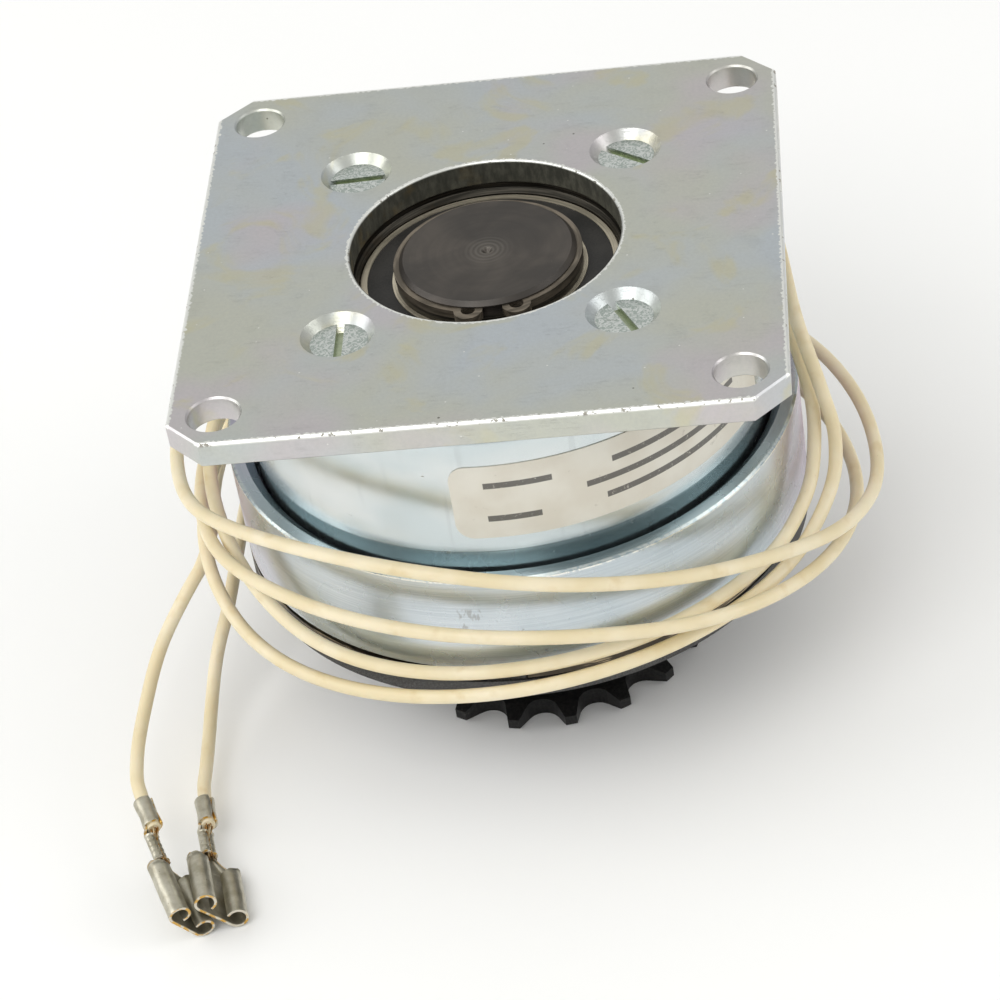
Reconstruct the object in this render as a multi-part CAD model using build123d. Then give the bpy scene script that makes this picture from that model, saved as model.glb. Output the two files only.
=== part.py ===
from build123d import *
import math
import os

# Electromagnetic clutch coupling with a flange plate, a fixed coil field, a rotor on a bored shaft and a
# sprocket that the armature drives. Millimetres. +Z up along the shaft. The origin is the centre of the
# flange plate's top face, and the clutch stands on the lower face of its sprocket.

# ---- Driving dimensions -------------------------------------------------------------------------------
# Flange plate
PLATE_SIDE = 82.55
PLATE_THICK = 3.8
PLATE_CORNER = 4.8
PLATE_HOLE_SPACING = 69.85
PLATE_HOLE_R = 3.57
PLATE_BORE_R = 19.05
EDGE_BREAK = 0.25
COUNTERSINK_R = 5.15
SCREW_CLEARANCE_R = 2.3

# Flat-head screws that hold the field to the plate
SCREW_OFFSET = 19.42
SCREW_HEAD_R = 4.0
SCREW_SHANK_R = 2.1
SCREW_SUNK = 1.3
SCREW_LENGTH = 8.2
COUNTERSINK_ANGLE = 82.0
SCREW_SLOT_WIDTH = 1.1
SCREW_SLOT_DEPTH = 0.9
SCREW_SLOT_TURNS = (-64.0, -36.0, 3.0, -90.0)

# Field
FIELD_TOP = -PLATE_THICK
FIELD_BOTTOM = -37.7
FIELD_R = 37.75
FIELD_BAND_R = 37.45
FIELD_BAND_TOP = -25.0
FIELD_SHOULDER = 4.0
FIELD_WALL_INNER_R = 33.45
FIELD_ROOF_BOTTOM = -10.3
POLE_OUTER_R = 22.5

# Coil
COIL_TOP = -10.6
COIL_BOTTOM = -36.3
BOBBIN_INNER_R = 22.8
BOBBIN_WALL = 1.0
BOBBIN_FLANGE_R = 33.2
WINDING_R = 32.5

# Shaft, running down from the plate's bore
SHAFT_TOP = -1.95
SHAFT_JOURNAL_R = 12.5
SHAFT_SEAT_R = 14.3
SHAFT_NECK_R = 12.0
HUB_JOURNAL_R = 10.0
SHAFT_BOTTOM = -70.7
BORE_R = 6.35
BORE_TOP = -38.0
KEYWAY_WIDTH = 3.175
KEYWAY_DEPTH = 1.5

# Retaining rings in grooves at the shaft's two ends
UPPER_GROOVE_R = 11.7
UPPER_GROOVE_TOP = SHAFT_TOP - 0.78
LOWER_GROOVE_R = 9.45
LOWER_GROOVE_TOP = -68.83
GROOVE_WIDTH = 1.3
RETAINING_RING_THICK = 1.2

# Field bearings, 25 x 37 x 7, and hub bearings, 20 x 32 x 7
FIELD_BEARING_OUTER_R = 18.5
HUB_BEARING_OUTER_R = 16.0
BEARING_WIDTH = 7.0
BALL_R = 2.0
BALL_PLAY = 0.02
FIELD_BEARING_TOPS = (-5.3, -22.0)
HUB_BEARING_TOPS = (-49.0, -60.8)

# Rotor
ROTOR_R = 41.3
ROTOR_INNER_R = 38.05
ROTOR_TOP = -27.2
ROTOR_FACE = -43.3
ROTOR_WEB_TOP = -38.3
ROTOR_SLEEVE_R = 17.8
ROTOR_SLEEVE_TOP = -30.5
FACING_INNER_R = 29.0
FACING_OUTER_R = 36.0
FACING_DEPTH = 1.2
POLE_SLOT_R = 26.0
POLE_SLOT_WIDTH = 3.0

# Armature and its driver disc
ARMATURE_TOP = -43.75
ARMATURE_BOTTOM = -45.15
ARMATURE_INNER_R = 20.5
LUG_ANGLES = (-92.0, -2.0, 88.0, 178.0)
LUG_SLOT_WIDTH = 5.8
LUG_WIDTH = 5.2
LUG_INNER_R = 37.6
DRIVER_TOP = -45.55
DRIVER_BOTTOM = -48.5
SPIGOT_R = 17.8
SPRING_ANGLES = (-47.0, 43.0, 133.0, 223.0)
SPRING_R = 29.0
SPRING_FLOOR = -46.6
SPRING_THICK = 0.3
SPRING_WIDTH = 5.0
SPRING_HALF_LENGTH = 8.4
SPRING_HALF_BEND = 3.6
RIVET_SPACING = 12.0
RIVET_R = 1.0
RIVET_HEAD_R = 1.8
RIVET_HEAD_HEIGHT = 0.45

# Sprocket, 8 mm pitch roller chain
TEETH = 18
CHAIN_PITCH = 8.0
ROLLER_R = 2.5
TIP_R = 24.4
TOOTH_WIDTH = 2.8
SPROCKET_BOTTOM = -71.0
BARREL_R = 19.0

# Leads
LEAD_R = 1.0
LEAD_EXIT_ANGLE = 75.0
LEAD_EXIT_HEIGHTS = (-11.8, -14.4)
GROMMET_FACE = 39.3

# Rating label
LABEL_FIRST_ANGLE = -98.0
LABEL_LAST_ANGLE = -20.0
LABEL_TOP = -10.3
LABEL_HEIGHT = 12.2
LABEL_THICK = 0.12

# Push-on terminals
TERMINAL_WIDTH = 8.8
TERMINAL_SHEET = 0.4
TERMINAL_ROLL_R = 1.6
RECEPTACLE_LENGTH = 9.4
NECK_LENGTH = 2.5
WIRE_BARREL_LENGTH = 4.7
WIRE_BARREL_R = 1.25
WINDOW_LENGTH = 1.3
INSULATION_BARREL_LENGTH = 4.7
INSULATION_BARREL_R = 1.45
TERMINAL_WIRE_HEIGHT = 2.0

FROM_TOP = (Align.CENTER, Align.CENTER, Align.MAX)
OUTWARD_FROM_TOP = (Align.MIN, Align.CENTER, Align.MAX)


# ---- Helpers ------------------------------------------------------------------------------------------
def polar(radius, angle, height=0.0):
    turn = math.radians(angle)
    return (radius * math.cos(turn), radius * math.sin(turn), height)


def disc(radius, top, bottom):
    return Pos(0, 0, top) * Cylinder(radius, top - bottom, align=FROM_TOP)


def ring(inner, outer, top, bottom):
    return disc(outer, top, bottom) - disc(inner, top + 1, bottom - 1)


def turned(points):
    """The solid of revolution of an outline given as (radius, height) points."""
    outline = Polyline(*[(radius, 0, height) for radius, height in points], close=True)
    return revolve(make_face(outline), Axis.Z)


def group(solids):
    return Compound(children=list(solids))


def save(name, shape):
    """Writes one node, as a single solid or as a compound of separate solids."""
    solids = shape.solids()
    whole = solids[0] if len(solids) == 1 else Compound(children=list(solids))
    export_step(whole, f"parts/{name}.step")


def stand(shape, radius, angle):
    """Places a shape that was made along +X about the origin at a polar position about the shaft."""
    return Rot(0, 0, angle) * Pos(radius, 0, 0) * shape


def radial_block(width, inner, outer, top, bottom, angle):
    block = Box(outer - inner, width, top - bottom, align=OUTWARD_FROM_TOP)
    return stand(Pos(0, 0, top) * block, inner, angle)


# ---- Flange plate and its screws ----------------------------------------------------------------------
def screw_places():
    return [(x * SCREW_OFFSET, y * SCREW_OFFSET) for x, y in ((1, -1), (1, 1), (-1, 1), (-1, -1))]


def countersink_depth(wide, narrow):
    return (wide - narrow) / math.tan(math.radians(COUNTERSINK_ANGLE / 2))


def mounting_plate():
    blank = Box(PLATE_SIDE, PLATE_SIDE, PLATE_THICK, align=FROM_TOP)
    blank = chamfer(blank.edges().filter_by(Axis.Z), PLATE_CORNER)
    through = 3 * PLATE_THICK
    blank -= Cylinder(PLATE_BORE_R, through)
    half = PLATE_HOLE_SPACING / 2
    for x, y in ((half, half), (-half, half), (-half, -half), (half, -half)):
        blank -= Pos(x, y, 0) * Cylinder(PLATE_HOLE_R, through)
    rims = blank.edges().group_by(Axis.Z)
    blank = chamfer(rims[0] + rims[-1], EDGE_BREAK)
    cone_depth = countersink_depth(COUNTERSINK_R, SCREW_CLEARANCE_R)
    for x, y in screw_places():
        blank -= Pos(x, y, 0) * Cylinder(SCREW_CLEARANCE_R, through)
        blank -= Pos(x, y, 0) * Cone(SCREW_CLEARANCE_R, COUNTERSINK_R, cone_depth, align=FROM_TOP)
    return blank


def plate_screw(turn):
    cone_depth = countersink_depth(SCREW_HEAD_R, SCREW_SHANK_R)
    head = Pos(0, 0, -SCREW_SUNK) * Cone(SCREW_SHANK_R, SCREW_HEAD_R, cone_depth, align=FROM_TOP)
    shank = Pos(0, 0, -SCREW_SUNK) * Cylinder(SCREW_SHANK_R, SCREW_LENGTH, align=FROM_TOP)
    slot = Box(3 * SCREW_HEAD_R, SCREW_SLOT_WIDTH, 2 * SCREW_SLOT_DEPTH)
    return head + shank - Pos(0, 0, -SCREW_SUNK) * Rot(0, 0, turn) * slot


def plate_screws():
    screws = []
    for (x, y), turn in zip(screw_places(), SCREW_SLOT_TURNS):
        screws.append(Pos(x, y, 0) * plate_screw(turn))
    return group(screws)


# ---- Field and coil -----------------------------------------------------------------------------------
def field_shell():
    """The drawn cup: roof, rounded shoulder, wall, and a lower band turned a little smaller."""
    fit = 0.02
    cup = turned(
        [
            (POLE_OUTER_R + fit, FIELD_TOP),
            (FIELD_R, FIELD_TOP),
            (FIELD_R, FIELD_BAND_TOP),
            (FIELD_BAND_R, FIELD_BAND_TOP - 0.3),
            (FIELD_BAND_R, FIELD_BOTTOM),
            (FIELD_WALL_INNER_R, FIELD_BOTTOM),
            (FIELD_WALL_INNER_R, FIELD_ROOF_BOTTOM),
            (POLE_OUTER_R + fit, FIELD_ROOF_BOTTOM),
        ]
    )
    rim = cup.edges().filter_by(GeomType.CIRCLE).group_by(Axis.Z)[-1].sort_by(SortBy.RADIUS)[-1]
    cup = fillet(rim, FIELD_SHOULDER)
    tapped_depth = SCREW_SUNK + SCREW_LENGTH + 0.2
    for x, y in screw_places():
        cup -= Pos(x, y, 0) * Cylinder(SCREW_SHANK_R + 0.02, tapped_depth, align=FROM_TOP)
    return cup - stand(grommet_plug(0.05, FIELD_R + 2), 0, LEAD_EXIT_ANGLE)


def field_inner_pole():
    """The pole tube, with a seat for each field bearing and a land between the two."""
    land_r = FIELD_BEARING_OUTER_R - 1.3
    seat_top = FIELD_BEARING_TOPS[0]
    upper_seat_end = seat_top - BEARING_WIDTH - 0.05
    lower_seat_top = FIELD_BEARING_TOPS[1] + 0.05
    entry_r = FIELD_BEARING_OUTER_R + 0.45
    recess_r = 19.6
    recess_floor = FIELD_TOP - 0.6
    return turned(
        [
            (recess_r, FIELD_TOP),
            (POLE_OUTER_R, FIELD_TOP),
            (POLE_OUTER_R, FIELD_BOTTOM),
            (FIELD_BEARING_OUTER_R, FIELD_BOTTOM),
            (FIELD_BEARING_OUTER_R, lower_seat_top),
            (land_r, lower_seat_top),
            (land_r, upper_seat_end),
            (FIELD_BEARING_OUTER_R, upper_seat_end),
            (FIELD_BEARING_OUTER_R, seat_top + 0.1),
            (entry_r, recess_floor),
            (recess_r, recess_floor),
        ]
    )


def coil_bobbin():
    core_r = BOBBIN_INNER_R + BOBBIN_WALL
    return turned(
        [
            (BOBBIN_INNER_R, COIL_TOP),
            (BOBBIN_FLANGE_R, COIL_TOP),
            (BOBBIN_FLANGE_R, COIL_TOP - BOBBIN_WALL),
            (core_r, COIL_TOP - BOBBIN_WALL),
            (core_r, COIL_BOTTOM + BOBBIN_WALL),
            (BOBBIN_FLANGE_R, COIL_BOTTOM + BOBBIN_WALL),
            (BOBBIN_FLANGE_R, COIL_BOTTOM),
            (BOBBIN_INNER_R, COIL_BOTTOM),
        ]
    )


def coil_winding():
    gap = 0.05
    top = COIL_TOP - BOBBIN_WALL - gap
    bottom = COIL_BOTTOM + BOBBIN_WALL + gap
    return ring(BOBBIN_INNER_R + BOBBIN_WALL + gap, WINDING_R, top, bottom)


def coil_tape():
    gap = 0.1
    top = COIL_TOP - BOBBIN_WALL - gap
    bottom = COIL_BOTTOM + BOBBIN_WALL + gap
    return ring(WINDING_R + 0.05, BOBBIN_FLANGE_R - gap, top, bottom)


def coil_potting():
    """The resin ring that closes the field's open end below the bobbin."""
    return ring(POLE_OUTER_R + 0.05, FIELD_WALL_INNER_R - 0.05, COIL_BOTTOM - 0.05, FIELD_BOTTOM + 0.2)


def grommet_plug(extra, outer_end):
    """The oval block that passes the field's wall at the leads' exit, along +X from the shaft's axis."""
    width = 3.8 + 2 * extra
    height = LEAD_EXIT_HEIGHTS[0] - LEAD_EXIT_HEIGHTS[1] + width
    middle = sum(LEAD_EXIT_HEIGHTS) / 2
    inner_end = FIELD_WALL_INNER_R + 0.3
    profile = Plane.YZ.offset(inner_end) * SlotOverall(height, width, rotation=90)
    return Pos(0, 0, middle) * extrude(profile, outer_end - inner_end)


def lead_grommet():
    """The grommet: the oval block and a flange that lies against the field's wall."""
    flange_start = FIELD_R + 0.1
    profile = Plane.YZ.offset(flange_start) * SlotOverall(8.4, 5.8, rotation=90)
    middle = sum(LEAD_EXIT_HEIGHTS) / 2
    flange = Pos(0, 0, middle) * extrude(profile, GROMMET_FACE - flange_start)
    return stand(grommet_plug(0, GROMMET_FACE) + flange, 0, LEAD_EXIT_ANGLE)


def rating_label():
    """A thin blank label with rounded corners, wrapped on the field's wall."""
    clearance = 0.02
    skin = ring(FIELD_R + clearance, FIELD_R + clearance + LABEL_THICK, LABEL_TOP, LABEL_TOP - LABEL_HEIGHT)
    half_angle = (LABEL_LAST_ANGLE - LABEL_FIRST_ANGLE) / 2
    reach = 1.2 * FIELD_R / math.cos(math.radians(half_angle))
    wedge = Polyline((0, 0), polar(reach, -half_angle)[:2], polar(reach, half_angle)[:2], close=True)
    middle = (LABEL_FIRST_ANGLE + LABEL_LAST_ANGLE) / 2
    sector = Rot(0, 0, middle) * Pos(0, 0, -2 * LABEL_HEIGHT) * extrude(make_face(wedge), 3 * LABEL_HEIGHT)
    label = skin & sector
    corners = label.edges().filter_by(GeomType.LINE).filter_by(
        lambda edge: abs(edge.center().Z - (LABEL_TOP - LABEL_HEIGHT / 2)) > LABEL_HEIGHT / 2 - 0.01
    )
    return fillet(corners, 2.5)


# ---- Ball bearings ------------------------------------------------------------------------------------
def bearing(bore_r, outer_r, top):
    """One sealed deep-groove ball bearing, as a dictionary of its pieces."""
    bottom = top - BEARING_WIDTH
    middle = (top + bottom) / 2
    pitch_r = (bore_r + outer_r) / 2 + 0.05
    inner_land = pitch_r - 1.2
    outer_land = pitch_r + 1.3
    step = 0.8
    inner_step = bore_r + 1.3
    outer_step = outer_r - 1.13
    groove = Pos(0, 0, middle) * Torus(pitch_r, BALL_R + BALL_PLAY)
    inner = turned(
        [
            (bore_r, top),
            (inner_step, top),
            (inner_step, top - step),
            (inner_land, top - step),
            (inner_land, bottom + step),
            (inner_step, bottom + step),
            (inner_step, bottom),
            (bore_r, bottom),
        ]
    )
    chamfer_height = 0.4
    outer = turned(
        [
            (outer_r, top - chamfer_height),
            (outer_r - 0.26, top),
            (outer_step, top),
            (outer_step, top - step),
            (outer_land, top - step),
            (outer_land, bottom + step),
            (outer_step, bottom + step),
            (outer_step, bottom),
            (outer_r - 0.26, bottom),
            (outer_r, bottom + chamfer_height),
        ]
    )
    count = 16
    ball_places = [polar(pitch_r, 360 * k / count, middle) for k in range(count)]
    cage = ring(pitch_r - 0.5, pitch_r + 0.5, middle + 2.5, middle - 2.5)
    pocket = Pos(0, 0, middle) * Rot(0, 90, 0) * Cylinder(BALL_R + 0.12, 3)
    for k in range(count):
        cage -= stand(pocket, pitch_r, 360 * k / count)
    seal_gap = 0.04
    seals = [
        ring(inner_step + seal_gap, outer_step - 0.02, face, face - 0.4)
        for face in (top - 0.12, bottom + 0.52)
    ]
    return {
        "inner_race": inner - groove,
        "outer_race": outer - groove,
        "balls": group(Pos(*place) * Sphere(BALL_R) for place in ball_places),
        "cage": cage,
        "seals": group(seals),
    }


# ---- Shaft and what is on it --------------------------------------------------------------------------
def rotor_shaft():
    edge = 0.6
    shaft = turned(
        [
            (0, SHAFT_TOP),
            (SHAFT_JOURNAL_R - edge, SHAFT_TOP),
            (SHAFT_JOURNAL_R, SHAFT_TOP - edge),
            (SHAFT_JOURNAL_R, FIELD_BEARING_TOPS[1] - BEARING_WIDTH),
            (SHAFT_SEAT_R, FIELD_BEARING_TOPS[1] - BEARING_WIDTH),
            (SHAFT_SEAT_R, ROTOR_FACE - 0.6),
            (SHAFT_NECK_R, ROTOR_FACE - 1.2),
            (SHAFT_NECK_R, HUB_BEARING_TOPS[0]),
            (HUB_JOURNAL_R, HUB_BEARING_TOPS[0]),
            (HUB_JOURNAL_R, SHAFT_BOTTOM + edge),
            (HUB_JOURNAL_R - edge, SHAFT_BOTTOM),
            (0, SHAFT_BOTTOM),
        ]
    )
    outside = 2 * SHAFT_JOURNAL_R
    shaft -= ring(UPPER_GROOVE_R, outside, UPPER_GROOVE_TOP, UPPER_GROOVE_TOP - GROOVE_WIDTH)
    shaft -= ring(LOWER_GROOVE_R, outside, LOWER_GROOVE_TOP, LOWER_GROOVE_TOP - GROOVE_WIDTH)
    centre_mark = Cone(0.2, 0.8, 0.6, align=FROM_TOP)
    shaft -= Pos(0, 0, SHAFT_TOP) * centre_mark
    bore_depth = BORE_TOP - SHAFT_BOTTOM
    shaft -= Pos(0, 0, BORE_TOP) * Cylinder(BORE_R, bore_depth + 1, align=FROM_TOP)
    keyway = Box(BORE_R + KEYWAY_DEPTH, KEYWAY_WIDTH, bore_depth + 1, align=OUTWARD_FROM_TOP)
    return shaft - Pos(0, 0, BORE_TOP) * keyway


def eared_ring(inner, outer, top, gap_angle, half_gap, ear_r, ear_reach):
    """An external retaining ring: an open ring whose two ends carry an eared plier hole."""
    bottom = top - RETAINING_RING_THICK
    gap_width = (outer + inner) * math.sin(math.radians(half_gap))
    body = ring(inner, outer, top, bottom)
    body -= radial_block(gap_width, 0, 2 * outer, top + 1, bottom - 1, gap_angle)
    for side in (-1, 1):
        ear_angle = gap_angle + side * (half_gap + math.degrees(ear_r / outer))
        ear = stand(disc(ear_r, top, bottom), ear_reach, ear_angle)
        hole = stand(disc(ear_r / 2, top + 1, bottom - 1), ear_reach, ear_angle)
        body += ear - disc(inner, top + 1, bottom - 1)
        body -= hole
    return body


def upper_retaining_ring():
    top = UPPER_GROOVE_TOP - 0.05
    return eared_ring(
        UPPER_GROOVE_R + 0.1, 13.3, top, gap_angle=-85.0, half_gap=6.5, ear_r=2.0, ear_reach=12.85
    )


def lower_retaining_ring():
    top = LOWER_GROOVE_TOP - 0.05
    return eared_ring(
        LOWER_GROOVE_R + 0.1, 11.3, top, gap_angle=90.0, half_gap=7.0, ear_r=1.7, ear_reach=11.0
    )


def ring_spacer():
    top = UPPER_GROOVE_TOP - GROOVE_WIDTH + 0.01
    return ring(SHAFT_JOURNAL_R + 0.03, 13.2, top, FIELD_BEARING_TOPS[0] + 0.02)


def bearing_spacer():
    """The sleeve on the shaft between the inner races of the two field bearings."""
    top = FIELD_BEARING_TOPS[0] - BEARING_WIDTH - 0.02
    return ring(SHAFT_JOURNAL_R + 0.03, 13.8, top, FIELD_BEARING_TOPS[1] + 0.02)


def hub_bearing_spacer():
    top = HUB_BEARING_TOPS[0] - BEARING_WIDTH - 0.02
    return ring(HUB_JOURNAL_R + 0.03, 11.6, top, HUB_BEARING_TOPS[1] + 0.02)


def lower_washer():
    top = HUB_BEARING_TOPS[1] - BEARING_WIDTH - 0.02
    return ring(HUB_JOURNAL_R + 0.05, 12.0, top, LOWER_GROOVE_TOP + 0.03)


# ---- Rotor --------------------------------------------------------------------------------------------
def rotor():
    """The rotor cup: outer pole wall, slotted web and the sleeve that is pressed on the shaft."""
    fit = 0.02
    cup = turned(
        [
            (SHAFT_SEAT_R + fit, ROTOR_SLEEVE_TOP),
            (ROTOR_SLEEVE_R, ROTOR_SLEEVE_TOP),
            (ROTOR_SLEEVE_R, ROTOR_WEB_TOP),
            (ROTOR_INNER_R, ROTOR_WEB_TOP),
            (ROTOR_INNER_R, ROTOR_TOP - 1.2),
            (ROTOR_INNER_R + 1.3, ROTOR_TOP),
            (ROTOR_R - 0.3, ROTOR_TOP),
            (ROTOR_R, ROTOR_TOP - 0.3),
            (ROTOR_R, ROTOR_FACE + 0.3),
            (ROTOR_R - 0.3, ROTOR_FACE),
            (FACING_OUTER_R, ROTOR_FACE),
            (FACING_OUTER_R, ROTOR_FACE + FACING_DEPTH),
            (FACING_INNER_R, ROTOR_FACE + FACING_DEPTH),
            (FACING_INNER_R, ROTOR_FACE),
            (SHAFT_SEAT_R + fit, ROTOR_FACE),
        ]
    )
    slot_span = 62.0
    for k in range(4):
        path = CenterArc((0, 0), POLE_SLOT_R, 90 * k - slot_span / 2, slot_span)
        slot = extrude(SlotArc(path, POLE_SLOT_WIDTH), ROTOR_WEB_TOP - ROTOR_FACE + 2)
        cup -= Pos(0, 0, ROTOR_FACE - 1) * slot
    return cup


def friction_facing():
    gap = 0.02
    return ring(FACING_INNER_R + gap, FACING_OUTER_R - gap, ROTOR_FACE + FACING_DEPTH - gap, ROTOR_FACE + gap)


# ---- Armature, driver disc and return springs ---------------------------------------------------------
def spring_rivet_place(side, angle):
    """A rivet of a return spring: side -1 is the driver's end, side 1 is the armature's end."""
    return Rot(0, 0, angle) * Pos(SPRING_R, side * RIVET_SPACING / 2, 0)


def rivet_hole(side, angle):
    return spring_rivet_place(side, angle) * Cylinder(RIVET_R + 0.02, 200)


def armature():
    plate = ring(ARMATURE_INNER_R, ROTOR_R, ARMATURE_TOP, ARMATURE_BOTTOM)
    slot_inner = LUG_INNER_R - 0.3
    for angle in LUG_ANGLES:
        plate -= radial_block(
            LUG_SLOT_WIDTH, slot_inner, ROTOR_R + 1, ARMATURE_TOP + 1, ARMATURE_BOTTOM - 1, angle
        )
    for angle in SPRING_ANGLES:
        plate -= rivet_hole(1, angle)
    return plate


def armature_rivets():
    """Each holds a spring's high end under the armature, its head below the leaf."""
    head_top = ARMATURE_BOTTOM - 0.45
    head_bottom = head_top - RIVET_HEAD_HEIGHT
    rivet = disc(RIVET_R, ARMATURE_TOP - 0.1, head_top) + disc(RIVET_HEAD_R, head_top, head_bottom)
    return group(spring_rivet_place(1, angle) * rivet for angle in SPRING_ANGLES)


def driver_disc():
    """The disc that turns the armature: lugs stand up at its rim, and a pocket holds each return spring."""
    plate = ring(SPIGOT_R + 0.02, ROTOR_R, DRIVER_TOP, DRIVER_BOTTOM)
    pocket_length = 18.5
    pocket_width = 7.0
    lug_outer = ROTOR_R - 0.4
    for angle in LUG_ANGLES:
        plate += radial_block(LUG_WIDTH, LUG_INNER_R, lug_outer, ARMATURE_TOP - 0.2, DRIVER_TOP - 1, angle)
    for angle in SPRING_ANGLES:
        pocket = Box(pocket_width, pocket_length, DRIVER_TOP + 1 - SPRING_FLOOR, align=FROM_TOP)
        plate -= stand(Pos(0, 0, DRIVER_TOP + 1) * pocket, SPRING_R, angle)
        plate -= rivet_hole(-1, angle)
    return plate


def driver_rivets():
    """Each holds a spring's low end on its pocket's floor, its head above the leaf."""
    head_bottom = SPRING_FLOOR + 0.4
    head_top = head_bottom + RIVET_HEAD_HEIGHT
    rivet = disc(RIVET_HEAD_R, head_top, head_bottom) + disc(RIVET_R, head_bottom, DRIVER_BOTTOM + 0.1)
    return group(spring_rivet_place(-1, angle) * rivet for angle in SPRING_ANGLES)


def return_spring():
    """A leaf: one end flat on its pocket's floor, the other flat under the armature."""
    low = SPRING_FLOOR
    high = ARMATURE_BOTTOM - SPRING_THICK
    side_view = Polyline(
        (-SPRING_HALF_LENGTH, low),
        (-SPRING_HALF_BEND, low),
        (SPRING_HALF_BEND, high),
        (SPRING_HALF_LENGTH, high),
        (SPRING_HALF_LENGTH, high + SPRING_THICK),
        (SPRING_HALF_BEND, high + SPRING_THICK),
        (-SPRING_HALF_BEND, low + SPRING_THICK),
        (-SPRING_HALF_LENGTH, low + SPRING_THICK),
        close=True,
    )
    leaf = extrude(Plane.YZ.offset(-SPRING_WIDTH / 2) * make_face(side_view), SPRING_WIDTH)
    for side in (-1, 1):
        leaf -= Pos(0, side * RIVET_SPACING / 2, 0) * Cylinder(RIVET_R + 0.3, 200)
    return leaf


def return_springs():
    return group(stand(return_spring(), SPRING_R, angle) for angle in SPRING_ANGLES)


# ---- Sprocket hub -------------------------------------------------------------------------------------
def tooth_gap(middle_angle):
    """The outline's points and arcs across one gap: flank, roller seat, flank, then the next tooth's tip."""
    pitch_r = CHAIN_PITCH / 2 / math.sin(math.pi / TEETH)
    seat_r = 1.01 * ROLLER_R
    centre = polar(pitch_r, middle_angle)[:2]
    seat_half = 60.0
    tip_half = 2.0
    half_tooth = 180.0 / TEETH

    def on_seat(turn):
        heading = math.radians(middle_angle + 180 + turn)
        return (centre[0] + seat_r * math.cos(heading), centre[1] + seat_r * math.sin(heading))

    start_tip = polar(TIP_R, middle_angle - half_tooth + tip_half)[:2]
    end_tip = polar(TIP_R, middle_angle + half_tooth - tip_half)[:2]
    next_tooth = polar(TIP_R, middle_angle + half_tooth)[:2]
    next_tip = polar(TIP_R, middle_angle + half_tooth + tip_half)[:2]
    low_side = on_seat(seat_half)
    high_side = on_seat(-seat_half)
    return [
        Line(start_tip, low_side),
        ThreePointArc(low_side, on_seat(0), high_side),
        Line(high_side, end_tip),
        ThreePointArc(end_tip, next_tooth, next_tip),
    ]


def tooth_ring():
    edges = []
    for k in range(TEETH):
        edges += tooth_gap(360.0 / TEETH * (k + 0.5))
    outline = make_face(Wire(edges))
    top = SPROCKET_BOTTOM + TOOTH_WIDTH
    teeth = Pos(0, 0, SPROCKET_BOTTOM) * extrude(outline, TOOTH_WIDTH)
    chamfer_r = 21.6
    chamfer_height = 0.62
    envelope = turned(
        [
            (0, SPROCKET_BOTTOM),
            (chamfer_r, SPROCKET_BOTTOM),
            (TIP_R + 0.1, SPROCKET_BOTTOM + chamfer_height),
            (TIP_R + 0.1, top - chamfer_height),
            (chamfer_r, top),
            (0, top),
        ]
    )
    return teeth & envelope


def sprocket_hub():
    """The sprocket's teeth, its barrel and the spigot that carries the driver disc, in one piece."""
    top = -46.0
    land_r = HUB_BEARING_OUTER_R - 1.2
    barrel = turned(
        [
            (HUB_BEARING_OUTER_R, top),
            (SPIGOT_R, top),
            (SPIGOT_R, DRIVER_BOTTOM),
            (BARREL_R, DRIVER_BOTTOM),
            (BARREL_R, SPROCKET_BOTTOM),
            (HUB_BEARING_OUTER_R, SPROCKET_BOTTOM),
            (HUB_BEARING_OUTER_R, HUB_BEARING_TOPS[1] + 0.05),
            (land_r, HUB_BEARING_TOPS[1] + 0.05),
            (land_r, HUB_BEARING_TOPS[0] - BEARING_WIDTH - 0.05),
            (HUB_BEARING_OUTER_R, HUB_BEARING_TOPS[0] - BEARING_WIDTH - 0.05),
        ]
    )
    teeth = tooth_ring() - disc(HUB_BEARING_OUTER_R + 1, SPROCKET_BOTTOM + 9, SPROCKET_BOTTOM - 9)
    return barrel + teeth


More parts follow.
